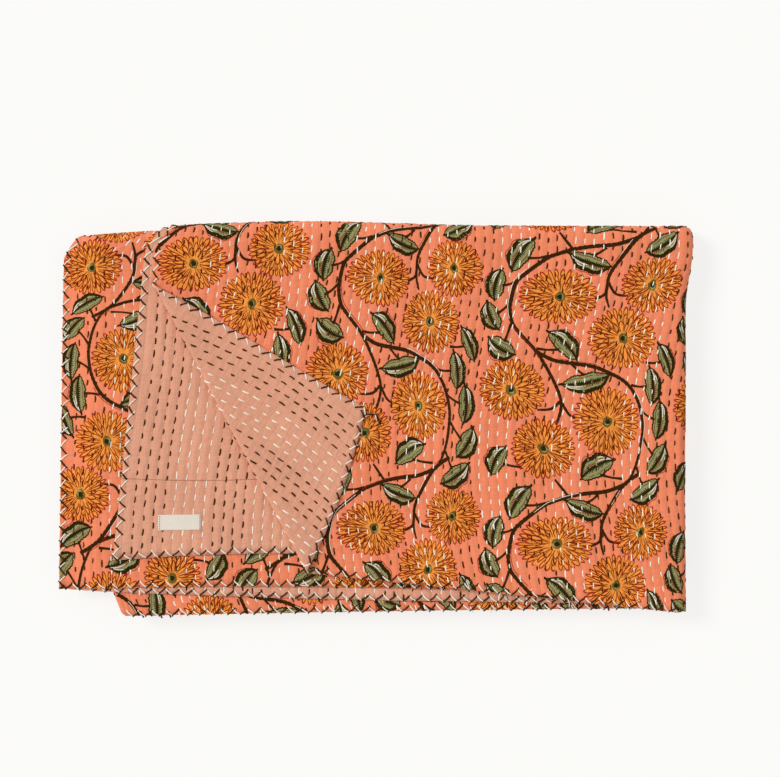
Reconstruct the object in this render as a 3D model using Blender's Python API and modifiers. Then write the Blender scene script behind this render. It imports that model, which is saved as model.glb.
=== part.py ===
# A hand-quilted cotton throw, folded to a block and laid flat, with a woven label on its backing.
#
# The throw is one sheet. It is doubled under itself four times: first along its length, then twice
# across, then once more along its length, so the block has sixteen layers. On the upper side they
# lie, from the top down, as leaves A to H. The last fold, the crease at the far side, carries each
# leaf round and back beneath the others in the opposite order.
#
# The sheet is a grid of columns and rows. Columns follow the section across the block: leaf A, the
# right bend, leaf H, the left bend, leaf E, the right bend again and leaf D. Rows start at the near
# hem of leaf A, go up and over the far crease, come back beneath, double under and return the same
# way as leaves B, G, F and C. Metres, +Z up, near side at -Y.

from collections import namedtuple
from math import cos, exp, pi, sin

import bmesh
import bpy
from mathutils import Vector

MM = 0.001

# Cloth
CLOTH = 1.2 * MM          # thickness of the quilted sheet
PITCH = 2.0 * MM          # from one layer to the next
LAYERS = 16
FULL_TURN = LAYERS / 2 - 0.5           # radius of the far crease of leaf A, in pitches
REST = (LAYERS - 1) * PITCH + CLOTH / 2    # height of the middle of leaf A
LEVEL_D, LEVEL_E, LEVEL_H = 3.0 * PITCH, 4.0 * PITCH, 7.0 * PITCH    # how far they lie under it

# Block
RIGHT_LINE = 284.9 * MM   # where the right bends start
LEFT_LINE = -254.4 * MM   # where the left bends of leaves E to H start
FAR_LINE = 165.8 * MM     # where the far creases start
MIDDLE_X = -0.15 * MM     # middle of the block, put over the origin
MIDDLE_Y = 1.37 * MM

# Leaves of the upper side, in millimetres: the near hem at the left and right end and its bow, the
# near end of the same leaf beneath at the left, and the free left edge at the far crease and at the
# near hem. Leaves E to H have no free left edge.
Leaf = namedtuple("Leaf", "hem_left hem_right hem_bow beneath_left edge_far edge_near")
LEAVES = {
    "A": Leaf(-124.9, -178.6, 0.0, -158.0, -205.0, -223.7),
    "B": Leaf(-130.2, -158.1, 17.8, -158.0, -213.4, -244.1),
    "C": Leaf(-158.1, -169.0, 8.0, -150.0, -291.6, -296.2),
    "D": Leaf(-158.1, -170.2, -3.5, -150.0, -286.0, -290.0),
    "E": Leaf(-183.2, -175.8, 1.0, -165.0, 0.0, 0.0),
    "F": Leaf(-174.8, -172.0, 0.0, -165.0, 0.0, 0.0),
    "G": Leaf(-173.0, -163.0, 0.0, -165.0, 0.0, 0.0),
    "H": Leaf(-174.0, -176.0, 0.0, -165.0, 0.0, 0.0),
}
BENEATH_RIGHT = -160.0    # near end of every leaf beneath, at the right
CORNER_LIFT = 22.6 * MM   # how far the near corner of leaf A is drawn up
CORNER_SHARE = 0.31       # of the leaf's width
EDGE_INSET = 14.0 * MM    # the free edges step in where they go over the far crease

INSET_FROM = 155.0 * MM
INSET_LENGTH = 28.0 * MM
TURN_DRAWN_IN = 22.0 * MM  # how far the left bends draw in at the near hem
TURN_DRAWN_FROM = -130.0 * MM
TURN_DRAWN_LENGTH = 55.0 * MM

# Turned-back corner of leaf A: its fold line, from the left edge to the near hem
FLAP_START = Vector((-192.8 * MM, 107.0 * MM, 0.0))
FLAP_END = Vector((-62.6 * MM, -137.6 * MM, 0.0))
FLAP_RADIUS = 2.6 * MM
FLAP_SETTLE = 34.0 * MM   # past the bend the corner comes down to lie on leaf A
FLAP_REST = 2.4 * MM      # its height over the middle of leaf A
FLAP_CUTS = 5             # round its bend
SETTLING_CUTS = (0.33, 0.67, 1.0)   # shares of the way that it comes down
CUT_SLACK = 0.02 * MM     # a corner this near a cut is taken as on it
FLAP_MERGE = 0.5 * MM     # corners that the cuts leave closer together than this become one

# How the tidy block settles
ARCH, ARCH_X, ARCH_REACH = 4.6 * MM, -61.0 * MM, 110.0 * MM     # the far crease swells outward
SINK, SINK_X, SINK_REACH = 6.5 * MM, -150.0 * MM, 140.0 * MM    # the far left corner draws back
FAR_PART, FAR_PART_LENGTH = 40.0 * MM, 100.0 * MM               # where both begin
RIGHT_PART, RIGHT_PART_LENGTH = 170.0 * MM, 110.0 * MM          # where the right side gives way
RIGHT_IN_BY, RIGHT_BULGE = -4.0 * MM, 7.5 * MM
BULGE_FROM, BULGE_LENGTH = 105.0 * MM, 55.0 * MM
PEEP, PEEP_EVEN, PEEP_WAVY, PEEP_WAVE = 3.2 * MM, 0.55, 0.45, 38.0 * MM
LOW_DROOP, LOW_DROOP_X, LOW_DROOP_LENGTH = 2.6 * MM, -246.0 * MM, 46.0 * MM
HIGH_DROOP, HIGH_DROOP_X, HIGH_DROOP_LENGTH = 6.5 * MM, -256.0 * MM, 38.0 * MM
LOW_DROOP_DEPTH = 2.0 * PITCH         # the lowest layer stays flat, the rest droop fully
HIGH_DROOP_FLOOR, HIGH_DROOP_DEPTH = 4.0 * PITCH, 8.0 * PITCH
SWELL, SWELL_X, SWELL_X_START, SWELL_Y, SWELL_Y_START = 0.8, 61.0 * MM, 0.7, 47.0 * MM, 0.4
SLANTED_SWELL, SLANTED_WAVE = 0.5, 39.0 * MM

# Quilting: low ridges of leaf A between its rows of running stitch
ROWS_A_COLUMN = 7         # rows of stitches in each column of the grid
RIDGE = 0.35 * MM

# Steps of the grid, span by span
LEAF_1, RIGHT_OUT, LEAF_2, LEFT_TURN, LEAF_3, RIGHT_IN, LEAF_4 = range(7)
LEAF_COLUMNS = 8
COLUMN_STEPS = (LEAF_COLUMNS, 5, LEAF_COLUMNS, 4, LEAF_COLUMNS, 4, LEAF_COLUMNS)
DROOP_SHARES = (0.94, 0.97)   # two more columns of leaf 4, where it hangs past the left bends
NEAR_UP, OVER, BACK_UNDER, DOUBLE, UNDER_UP, OVER_BACK, NEAR_DOWN = range(7)
ROW_STEPS = (6, 6, 3, 3, 3, 6, 6)
QUILTED_ROWS = ROW_STEPS[NEAR_UP] + ROW_STEPS[OVER] // 3
LINES_A_COLUMN = 2 * ROWS_A_COLUMN
HALF_STEP = 0.5

# Woven label on leaf B
LABEL_WIDTH = 40.0 * MM
LABEL_HEIGHT = 14.5 * MM
LABEL_THICKNESS = 0.5 * MM
LABEL_GAP = 0.3 * MM
LABEL_X = -182.3 * MM
LABEL_Y = -95.3 * MM
LABEL_GRID = (8, 3)

CORAL = (0.80, 0.23, 0.12)
TAPE_WHITE = (0.62, 0.57, 0.50)
COTTON_ROUGHNESS = 0.9
TAPE_ROUGHNESS = 0.8


def soft_step(value):
    """0 below 0, 1 above 1, and a smooth ramp between."""
    held = min(max(value, 0.0), 1.0)
    return held * held * (3.0 - 2.0 * held)


def between(first, last, share):
    return first + (last - first) * share


def leaf_hem(leaf, share):
    """Near hem of a leaf, a share of the way from its left end to its right end."""
    row = LEAVES[leaf]
    bow = row.hem_bow * 4.0 * share * (1.0 - share)
    place = (between(row.hem_left, row.hem_right, share) + bow) * MM
    if leaf == "A":
        place += CORNER_LIFT * max(0.0, 1.0 - share / CORNER_SHARE) ** 2
    return place


def leaf_doubling(leaf, share):
    """Near end of a leaf beneath, where the sheet doubles back."""
    return between(LEAVES[leaf].beneath_left, BENEATH_RIGHT, share) * MM


def free_edge(leaf, y):
    """Left edge of a leaf whose left end is free."""
    row = LEAVES[leaf]
    near = row.hem_left * MM
    share = min(max((y - near) / (FAR_LINE - near), 0.0), 1.0)
    inset = EDGE_INSET * soft_step((y - INSET_FROM) / INSET_LENGTH)
    return between(row.edge_near, row.edge_far, share) * MM + inset


def left_turn_line(y):
    """Where the left bends start: they draw in towards the near hem."""
    return LEFT_LINE + TURN_DRAWN_IN * max(0.0, (TURN_DRAWN_FROM - y) / TURN_DRAWN_LENGTH)


def bend(line, toward, radius, middle, share):
    """Half a turn about a bend's middle, from its upper to its lower layer."""
    return line + toward * radius * sin(pi * share), middle + radius * cos(pi * share)


def across(span, share, drop, y):
    """Section across the block at y: the middle of the sheet, before the far crease turns it.

    drop is how far the layer lies under its outer neighbour, from 0 for leaves A, H, E and D to
    one pitch for leaves B, G, F and C. Heights count down from leaf A.
    """
    second = drop / PITCH
    if span == LEAF_1:
        left = between(free_edge("A", y), free_edge("B", y), second)
        return between(left, RIGHT_LINE, share), -drop
    if span == RIGHT_OUT:
        return bend(RIGHT_LINE, 1.0, LEVEL_H / 2 - drop, -LEVEL_H / 2, share)
    if span == LEAF_2:
        return between(RIGHT_LINE, left_turn_line(y), share), -LEVEL_H + drop
    if span == LEFT_TURN:
        radius = (LEVEL_H - LEVEL_E) / 2 - drop
        return bend(left_turn_line(y), -1.0, radius, -(LEVEL_H + LEVEL_E) / 2, 1.0 - share)
    if span == LEAF_3:
        return between(left_turn_line(y), RIGHT_LINE, share), -LEVEL_E - drop
    if span == RIGHT_IN:
        radius = (LEVEL_E - LEVEL_D) / 2 + drop
        return bend(RIGHT_LINE, 1.0, radius, -(LEVEL_E + LEVEL_D) / 2, 1.0 - share)
    left = between(free_edge("D", y), free_edge("C", y), second)
    return between(RIGHT_LINE, left, share), -LEVEL_D + drop


def hem_line(span, share, second, beneath):
    """Near end of the rows: the hem of the upper side, or the doubling beneath."""
    names = "AHED"
    if second:
        names = "BGFC"
    leaf = names[span // 2]
    reading = leaf_doubling if beneath else leaf_hem
    if span in (LEAF_1, LEAF_3):
        return reading(leaf, share)
    if span in (LEAF_2, LEAF_4):
        return reading(leaf, 1.0 - share)
    end = 0.0 if span == LEFT_TURN else 1.0
    return between(reading(leaf, end), reading(names[span // 2 + 1], end), share)


def sheet_point(column, row, ridge):
    """Middle of the sheet at a column and a row, each a span and a share of it."""
    span, share = column
    stage, part = row
    second = stage > DOUBLE
    beneath = stage in (BACK_UNDER, DOUBLE, UNDER_UP)
    end = hem_line(span, share, second, beneath)
    drop = PITCH if second else 0.0
    if stage == DOUBLE:
        drop = 0.5 * PITCH * (1.0 - cos(pi * part))
    y = FAR_LINE
    if stage in (NEAR_UP, UNDER_UP):
        y = between(end, FAR_LINE, part)
    elif stage in (BACK_UNDER, NEAR_DOWN):
        y = between(FAR_LINE, end, part)
    elif stage == DOUBLE:
        y = end - 0.5 * PITCH * sin(pi * part)
    x, height = across(span, share, drop, y)
    height += ridge
    if beneath:
        return Vector((x, y, -2.0 * FULL_TURN * PITCH - height))
    if stage in (OVER, OVER_BACK):
        turn = pi * part if stage == OVER else pi * (1.0 - part)
        radius = height + FULL_TURN * PITCH
        y = FAR_LINE + radius * sin(turn)
        x, height = across(span, share, drop, y)
        return Vector((x, y, -FULL_TURN * PITCH + radius * cos(turn)))
    return Vector((x, y, height))


FLAP_LINE = (FLAP_END - FLAP_START).normalized()
OUTWARD = Vector((FLAP_LINE.y, -FLAP_LINE.x, 0.0))


def turn_corner_back(point):
    """Carry the corner of leaf A over its fold line and down on to the leaf."""
    past = (point - FLAP_START).dot(OUTWARD)
    if past <= 0.0:
        return point
    foot = point - OUTWARD * past
    angle = min(past / FLAP_RADIUS, pi)
    beyond = max(past - pi * FLAP_RADIUS, 0.0)
    lift = FLAP_RADIUS * (1.0 - cos(angle))
    lift += (FLAP_REST - 2.0 * FLAP_RADIUS) * soft_step(beyond / FLAP_SETTLE)
    ridge = point.z * cos(angle)
    carried = Vector((foot.x, foot.y, 0.0)) + OUTWARD * (FLAP_RADIUS * sin(angle) - beyond)
    return carried + Vector((0.0, 0.0, lift + ridge))


def settle(point):
    """Lay the tidy block down as cloth lies: uneven crease and sides, and drooping free leaves."""
    x, y = point.x, point.y
    z = point.z + REST
    share = z / REST
    # The far crease arches near its left third, and the far left corner sinks back.
    arch = ARCH * exp(-((x - ARCH_X) / ARCH_REACH) ** 2)
    sunk = SINK * max(0.0, (SINK_X - x) / SINK_REACH) ** 2
    new_y = y + (arch - sunk) * soft_step((y - FAR_PART) / FAR_PART_LENGTH)
    # The right side bulges at the far corner, and the lower layers peep out beside the upper ones.
    right = soft_step((x - RIGHT_PART) / RIGHT_PART_LENGTH)
    sway = RIGHT_IN_BY + RIGHT_BULGE * soft_step((y - BULGE_FROM) / BULGE_LENGTH)
    peep = PEEP * (1.0 - share) * (PEEP_EVEN + PEEP_WAVY * sin(y / PEEP_WAVE))
    new_x = x + right * (sway + peep)
    # Leaves C and D hang past the left bends, and so do their lower halves past leaves A and B.
    low_layers = soft_step((LOW_DROOP_X - x) / LOW_DROOP_LENGTH)
    high_layers = soft_step((HIGH_DROOP_X - x) / HIGH_DROOP_LENGTH)
    high_share = min(max((z - HIGH_DROOP_FLOOR) / HIGH_DROOP_DEPTH, 0.0), 1.0)
    new_z = z
    new_z -= LOW_DROOP * low_layers * min(max(z / LOW_DROOP_DEPTH, 0.0), 1.0)
    new_z -= HIGH_DROOP * high_layers * high_share
    # The top is softly uneven, and the underside lies flat.
    swell = SWELL * sin(x / SWELL_X + SWELL_X_START) * sin(y / SWELL_Y + SWELL_Y_START)
    swell += SLANTED_SWELL * sin((x + y) / SLANTED_WAVE)
    new_z += swell * MM * share * share
    return Vector((new_x - MIDDLE_X, new_y - MIDDLE_Y, new_z))


def steps_of(counts, extra_shares):
    """Span and share of every grid line: each span's even steps, and more in its last span."""
    lines = [(0, 0.0)]
    for span, count in enumerate(counts):
        shares = [step / count for step in range(1, count + 1)]
        if span == len(counts) - 1:
            shares = sorted(shares + list(extra_shares))
        lines += [(span, share) for share in shares]
    return lines


def line_at(lines, place):
    """Span and share at a place that may lie between two grid lines."""
    index = int(place)
    if index >= len(lines) - 1:
        return lines[-1]
    span, share = lines[index + 1]
    start = lines[index][1] if lines[index][0] == span else 0.0
    return span, between(start, share, place - index)


def cloth_material(name, colour, roughness):
    material = bpy.data.materials.new(name)
    material.use_nodes = True
    shader = material.node_tree.nodes["Principled BSDF"]
    shader.inputs["Base Color"].default_value = (*colour, 1.0)
    shader.inputs["Roughness"].default_value = roughness
    shader.inputs["Metallic"].default_value = 0.0
    return material


def add_object(name, mesh_data, material, thickness, group):
    """A sheet with the given thickness about its middle."""
    mesh = bpy.data.meshes.new(name)
    mesh_data.to_mesh(mesh)
    mesh_data.free()
    mesh.materials.append(material)
    mesh.shade_smooth()
    sheet = bpy.data.objects.new(name, mesh)
    group.objects.link(sheet)
    solidify = sheet.modifiers.new("Thickness", "SOLIDIFY")
    solidify.thickness = thickness
    solidify.offset = 0.0
    solidify.use_even_offset = True
    return sheet


def quilt_leaf_a(sheet):
    """Give leaf A, on to the far crease, a line at each row of stitches and one between rows."""
    banded = []
    for edge in sheet.edges:
        first, last = edge.verts[0].co, edge.verts[1].co
        level = abs(first.y - last.y) < HALF_STEP
        if level and first.y < QUILTED_ROWS + HALF_STEP and max(first.x, last.x) < LEAF_COLUMNS + HALF_STEP:
            banded.append(edge)
    bmesh.ops.subdivide_edges(sheet, edges=banded, cuts=LINES_A_COLUMN - 1)


def fold_grid(sheet, columns, rows):
    """Move every point of the grid to its place in the stack and return the points of leaf A."""
    leaf_a = []
    for vertex in sheet.verts:
        line = round(vertex.co.x * LINES_A_COLUMN)
        quilted = 0 < line < LEAF_COLUMNS * LINES_A_COLUMN and vertex.co.y < QUILTED_ROWS - HALF_STEP
        crest = quilted and line % 2 == 1
        if vertex.co.x < LEAF_COLUMNS + HALF_STEP and vertex.co.y < ROW_STEPS[NEAR_UP] + HALF_STEP:
            leaf_a.append(vertex)
        column = line_at(columns, line / LINES_A_COLUMN)
        row = line_at(rows, float(round(vertex.co.y)))
        vertex.co = sheet_point(column, row, RIDGE if crest else 0.0)
    return leaf_a


def cut_corner(sheet, leaf_a):
    """Cut leaf A along lines beside the fold of its corner and return the points of the cut part."""
    nearby = {face for vertex in leaf_a for face in vertex.link_faces}
    cloth = [face for face in nearby if all(corner in leaf_a for corner in face.verts)]
    reaches = [pi * FLAP_RADIUS * cut / FLAP_CUTS for cut in range(FLAP_CUTS + 1)]
    reaches += [pi * FLAP_RADIUS + FLAP_SETTLE * share for share in SETTLING_CUTS]
    for reach in reaches:
        whole = set(cloth)
        geometry = list(cloth)
        geometry += list({edge for face in cloth for edge in face.edges})
        geometry += list({corner for face in cloth for corner in face.verts})
        cut = bmesh.ops.bisect_plane(sheet, geom=geometry, dist=CUT_SLACK,
                                     plane_co=FLAP_START + OUTWARD * reach, plane_no=OUTWARD)
        cloth = [piece for piece in cut["geom"] if isinstance(piece, bmesh.types.BMFace)]
        cloth += [face for face in whole if face.is_valid and face not in cloth]
    corners = list({vertex for face in cloth for vertex in face.verts})
    bmesh.ops.remove_doubles(sheet, verts=corners, dist=FLAP_MERGE)
    return [corner for corner in corners if corner.is_valid]


def quilted_sheet():
    """The whole throw: a grid in columns and rows, quilted on leaf A, folded and laid down."""
    columns = steps_of(COLUMN_STEPS, DROOP_SHARES)
    rows = steps_of(ROW_STEPS, ())
    sheet = bmesh.new()
    bmesh.ops.create_grid(sheet, x_segments=len(columns) - 1, y_segments=len(rows) - 1, size=0.5)
    for vertex in sheet.verts:
        vertex.co.x = (vertex.co.x + 0.5) * (len(columns) - 1)
        vertex.co.y = (vertex.co.y + 0.5) * (len(rows) - 1)
    quilt_leaf_a(sheet)
    leaf_a = fold_grid(sheet, columns, rows)
    for vertex in cut_corner(sheet, leaf_a):
        vertex.co = turn_corner_back(vertex.co)
    for vertex in sheet.verts:
        vertex.co = settle(vertex.co)
    return sheet


def label_tape():
    """A short woven tape that lies on leaf B, just clear of the backing."""
    tape = bmesh.new()
    bmesh.ops.create_grid(tape, x_segments=LABEL_GRID[0], y_segments=LABEL_GRID[1], size=0.5)
    middle = -PITCH + 0.5 * CLOTH + LABEL_GAP + 0.5 * LABEL_THICKNESS
    for vertex in tape.verts:
        x = LABEL_X + vertex.co.x * LABEL_WIDTH
        y = LABEL_Y + vertex.co.y * LABEL_HEIGHT
        vertex.co = settle(Vector((x, y, middle)))
    return tape


def main():
    for item in list(bpy.data.objects):
        bpy.data.objects.remove(item, do_unlink=True)
    group = bpy.data.collections.new("folded_throw")
    bpy.context.scene.collection.children.link(group)
    coral = cloth_material("coral_cotton", CORAL, COTTON_ROUGHNESS)
    tape_white = cloth_material("label_tape", TAPE_WHITE, TAPE_ROUGHNESS)
    add_object("blanket", quilted_sheet(), coral, CLOTH, group)
    add_object("label", label_tape(), tape_white, LABEL_THICKNESS, group)


main()
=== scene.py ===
# %% [markdown]
# # A folded, hand-quilted cotton throw
# The throw is a printed cotton face and a plain backing, held together by rows of running stitch and
# finished round the edge with an overcast stitch in two colours. It is folded to sixteen layers, and
# one corner of the top layer is turned back to show the backing. This lesson starts from the frame,
# which holds the plain solids at their real size, and dresses them.

# %% Load the frame
from collections import namedtuple
from math import atan2, ceil, cos, degrees, exp, hypot, pi, radians, sin, tau
from random import Random

import bmesh
import bpy
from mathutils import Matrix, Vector


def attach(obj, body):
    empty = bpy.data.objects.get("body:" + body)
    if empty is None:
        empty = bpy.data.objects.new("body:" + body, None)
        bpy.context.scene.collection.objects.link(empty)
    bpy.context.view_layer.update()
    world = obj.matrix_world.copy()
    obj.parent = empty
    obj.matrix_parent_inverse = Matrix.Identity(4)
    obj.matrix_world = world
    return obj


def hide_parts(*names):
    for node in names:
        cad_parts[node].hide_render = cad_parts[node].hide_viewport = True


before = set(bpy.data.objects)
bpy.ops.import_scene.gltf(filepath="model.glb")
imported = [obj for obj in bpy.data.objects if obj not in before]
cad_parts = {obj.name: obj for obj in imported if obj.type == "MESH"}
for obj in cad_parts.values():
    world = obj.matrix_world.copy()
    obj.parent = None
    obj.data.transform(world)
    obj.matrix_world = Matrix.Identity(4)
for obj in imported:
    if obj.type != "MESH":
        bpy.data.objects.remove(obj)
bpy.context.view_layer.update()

# %% [markdown]
# ## The measures of the fold
# Cloth this size is not simulated here. A neat stack of layers is a construction: every layer lies a
# known step under the next, and every bend has a known radius. So a few measures say where any point
# of the flat throw comes to lie, and the cloth, the print and the stitches can all share one rule.
# Leaf A is the top layer and H the eighth; the far crease carries each of them round beneath.

# %% Name the measures of the fold
MM = 0.001
CLOTH = 1.2 * MM              # thickness of the face and the backing together
PITCH = 2.0 * MM              # from the middle of one layer to the middle of the next
LEAF_NAMES = "ABCDEFGH"       # the leaves of the upper half, from the top down
FULL_TURN = 7.5 * PITCH       # from leaf A down to the middle of the far crease
LOWEST = -15.0 * PITCH        # the bottom layer, which leaf A turns into
REST_HEIGHT = -LOWEST + CLOTH / 2
RIGHT_LINE = 284.9 * MM       # the bends at the right start here
LEFT_LINE = -254.4 * MM       # and those at the left here
FAR_LINE = 165.8 * MM         # and the crease here
RIGHT_CENTRE = -3.5 * PITCH   # height of the middle of the right bends
LEFT_CENTRE = -5.5 * PITCH
MIDDLE_X = -0.15 * MM         # the middle of the block, which goes to the origin
MIDDLE_Y = 1.37 * MM

# Each leaf's near hem, its near end beneath and its left edge, all in millimetres.
Leaf = namedtuple("Leaf", "hem_left hem_right hem_bow beneath_left edge_far edge_near")
LEAVES = {
    "A": Leaf(-124.9, -178.6, 0.0, -158.0, -205.0, -223.7),
    "B": Leaf(-130.2, -158.1, 17.8, -158.0, -213.4, -244.1),
    "C": Leaf(-158.1, -169.0, 8.0, -150.0, -291.6, -296.2),
    "D": Leaf(-158.1, -170.2, -3.5, -150.0, -286.0, -290.0),
    "E": Leaf(-183.2, -175.8, 1.0, -165.0, 0.0, 0.0),
    "F": Leaf(-174.8, -172.0, 0.0, -165.0, 0.0, 0.0),
    "G": Leaf(-173.0, -163.0, 0.0, -165.0, 0.0, 0.0),
    "H": Leaf(-174.0, -176.0, 0.0, -165.0, 0.0, 0.0),
}
print(f"folded stack: {2 * len(LEAF_NAMES)} layers, {REST_HEIGHT / MM + CLOTH / MM / 2:.1f} mm tall")

# %% [markdown]
# ## Edges
# A hem that is overcast by hand is drawn in at each stitch and bulges a little between two of them.
# It could be pulled out by hand, point by point, but a small scallop on every edge line does the same,
# and the stitches are later set where it dips. The leaves do not end in one line, because they were
# folded by eye, so each has a hem and a left edge of its own.

# %% Say where each leaf ends
EDGE_STITCH = 12.6 * MM
SCALLOP = 0.7 * MM
BENEATH_RIGHT = -160.0        # millimetres: near end of the leaves beneath, at the right
CORNER_LIFT = 22.6 * MM       # the near left corner of leaf A is drawn back
CORNER_SHARE = 0.31
EDGE_INSET, INSET_FROM, INSET_LENGTH = 14.0 * MM, 155.0 * MM, 28.0 * MM
LEFT_DRAW, DRAW_FROM, DRAW_LENGTH = 22.0 * MM, -130.0 * MM, 55.0 * MM


def soft_step(value):
    """0 below 0, 1 above 1, and a smooth ramp between."""
    held = min(max(value, 0.0), 1.0)
    return held * held * (3.0 - 2.0 * held)


def between(first, last, share):
    return first + (last - first) * share


def scallop(distance):
    return SCALLOP * abs(sin(pi * distance / EDGE_STITCH))


def left_turn_line(y):
    """Where the left bends start: they draw in towards the near hem."""
    return LEFT_LINE + LEFT_DRAW * max(0.0, (DRAW_FROM - y) / DRAW_LENGTH)


def left_end(leaf, y):
    """Left end of a leaf: its free edge, or where its left bend starts."""
    if leaf in "EFGH":
        return left_turn_line(y)
    row = LEAVES[leaf]
    near = row.hem_left * MM
    share = min(max((y - near) / (FAR_LINE - near), 0.0), 1.0)
    inset = EDGE_INSET * soft_step((y - INSET_FROM) / INSET_LENGTH)
    return between(row.edge_near, row.edge_far, share) * MM + inset


def width_share(leaf, x, y):
    left = left_end(leaf, y)
    return min(max((x - left) / (RIGHT_LINE - left), 0.0), 1.0)


def hem_at(leaf, share):
    """Near hem of a leaf on the upper side, a share of the way from its left to its right end."""
    row = LEAVES[leaf]
    bow = row.hem_bow * 4.0 * share * (1.0 - share)
    hem = (between(row.hem_left, row.hem_right, share) + bow) * MM
    if leaf == "A":
        hem += CORNER_LIFT * max(0.0, 1.0 - share / CORNER_SHARE) ** 2
    return hem


def doubling_at(leaf, share):
    """Near end of a leaf beneath, where the sheet doubles back."""
    return between(LEAVES[leaf].beneath_left, BENEATH_RIGHT, share) * MM


def near_hem(leaf, x):
    return hem_at(leaf, width_share(leaf, x, LEAVES[leaf].hem_left * MM)) - scallop(x)


def level_of(leaf):
    """Height of the middle of a leaf, counted down from leaf A."""
    return -LEAF_NAMES.index(leaf) * PITCH


def crease_length(level):
    return pi * (level + FULL_TURN)


print(f"leaf A is {(RIGHT_LINE - left_end('A', 0.0)) / MM:.0f} mm wide")
print(f"its crease is {crease_length(0.0) / MM:.0f} mm long")

# %% [markdown]
# ## Quilting
# Running stitches pull the two cloths together along each row, and the cloth stands up softly between
# the rows. The rows were sewn by eye, so they sway. The sway, the pitch and the place of the first row
# are read from the photograph. A sculpting brush could raise the puffs, but a rule keeps them between
# the threads, because the same numbers place the puffs now and the stitches later.

# %% Set out the rows of running stitch
PUFF = 0.42 * MM
LOWER_FULLNESS = 0.5          # the leaves below B are pressed flatter
Rows = namedtuple("Rows", "first pitch count follows_edge")
ROWS = {
    "A": Rows(-197.0, 8.45, 61, False),
    "B": Rows(16.0, 9.3, 16, True),
    "C": Rows(14.0, 8.7, 62, True),
    "D": Rows(15.0, 8.8, 62, True),
    "E": Rows(14.0, 8.6, 62, True),
}
SWAY, SWAY_CREST, SWAY_REACH = 11.0 * MM, 172.0 * MM, 65.0 * MM
EDGE_SWAY, EDGE_SWAY_REACH = 2.0 * MM, 38.0 * MM
STITCH_STEP = 12.0 * MM       # from one stitch to the next


def row_line(leaf, number, y, y_folded):
    """Where a row of running stitch crosses y, which counts on past the crease."""
    rows = ROWS[leaf]
    if rows.follows_edge:
        start = left_end(leaf, y_folded) + EDGE_SWAY * sin(y / EDGE_SWAY_REACH)
    else:
        start = SWAY * cos((SWAY_CREST - y) / SWAY_REACH)
    return start + (rows.first + rows.pitch * number) * MM


def puff(leaf, x, y, y_folded):
    """How far the cloth stands up between two rows of stitches."""
    if leaf not in ROWS:
        return 0.0
    place_in_rows = (x - row_line(leaf, 0, y, y_folded)) / (ROWS[leaf].pitch * MM)
    if place_in_rows < -0.2:
        return 0.0
    fullness = 1.0 if leaf in "AB" else LOWER_FULLNESS
    return PUFF * fullness * sin(pi * place_in_rows) ** 2


def quilted_place(leaf, x, y):
    """Rows across and stitches along, so that the puckers lie between the rows."""
    sewn = leaf if leaf in ROWS else "A"
    start = row_line(sewn, 0, y, min(y, FAR_LINE))
    return (x - start) / (ROWS[sewn].pitch * MM), y / STITCH_STEP


print("rows:", {leaf: rows.count for leaf, rows in ROWS.items()})

# %% [markdown]
# ## Folding
# place() is the heart of the lesson. It takes a leaf, a point of it as if nothing were bent, and a
# height over the middle of the cloth, and returns where that point lies in the stack. It winds the
# point round the side bends, over the far crease and beneath, turns the corner back, and last lets
# the neat block settle into the slightly uneven one of the photograph.

# %% Turn the corner back
FLAP_START = (-192.8 * MM, 107.0 * MM)    # the two ends of the fold
FLAP_END = (-62.6 * MM, -137.6 * MM)
FLAP_RADIUS = 2.6 * MM
FLAP_SETTLE = 34.0 * MM       # the corner sinks to rest over this distance
FLAP_REST = 2.4 * MM          # and then lies this high over leaf A, middle to middle
FLAP_SPAN = hypot(FLAP_END[0] - FLAP_START[0], FLAP_END[1] - FLAP_START[1])
OUTWARD = ((FLAP_END[1] - FLAP_START[1]) / FLAP_SPAN, (FLAP_START[0] - FLAP_END[0]) / FLAP_SPAN)


def past_fold(x, y):
    """How far a point of leaf A lies past the fold of its turned-back corner."""
    return (x - FLAP_START[0]) * OUTWARD[0] + (y - FLAP_START[1]) * OUTWARD[1]


def turn_corner_back(x, y, height):
    past = past_fold(x, y)
    if past <= 0.0:
        return x, y, height
    angle = min(past / FLAP_RADIUS, pi)
    beyond = max(past - pi * FLAP_RADIUS, 0.0)
    sideways = (FLAP_RADIUS - height) * sin(angle) - beyond - past
    sunk = (FLAP_REST - 2.0 * FLAP_RADIUS) * soft_step(beyond / FLAP_SETTLE)
    lifted = FLAP_RADIUS - (FLAP_RADIUS - height) * cos(angle) + sunk
    return x + OUTWARD[0] * sideways, y + OUTWARD[1] * sideways, lifted


print(f"corner fold: {FLAP_SPAN / MM:.0f} mm long, outward {OUTWARD[0]:.2f}, {OUTWARD[1]:.2f}")


# %% Let the block settle
ARCH, ARCH_AT, ARCH_REACH = 4.6 * MM, -61.0 * MM, 110.0 * MM      # the crease bows outward here
SUNK, SUNK_FROM, SUNK_REACH = 6.5 * MM, -150.0 * MM, 140.0 * MM   # and falls back at its left end
CREASE_FROM, CREASE_REACH = 40.0 * MM, 100.0 * MM
SIDE_FROM, SIDE_REACH = 170.0 * MM, 110.0 * MM                    # the right side sways from here on
SIDE_NEAR, SIDE_RISE, RISE_FROM, RISE_REACH = -4.0 * MM, 7.5 * MM, 105.0 * MM, 55.0 * MM
PEEP, PEEP_REACH = 3.2 * MM, 38.0 * MM                            # low layers peep out at the right
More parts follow.
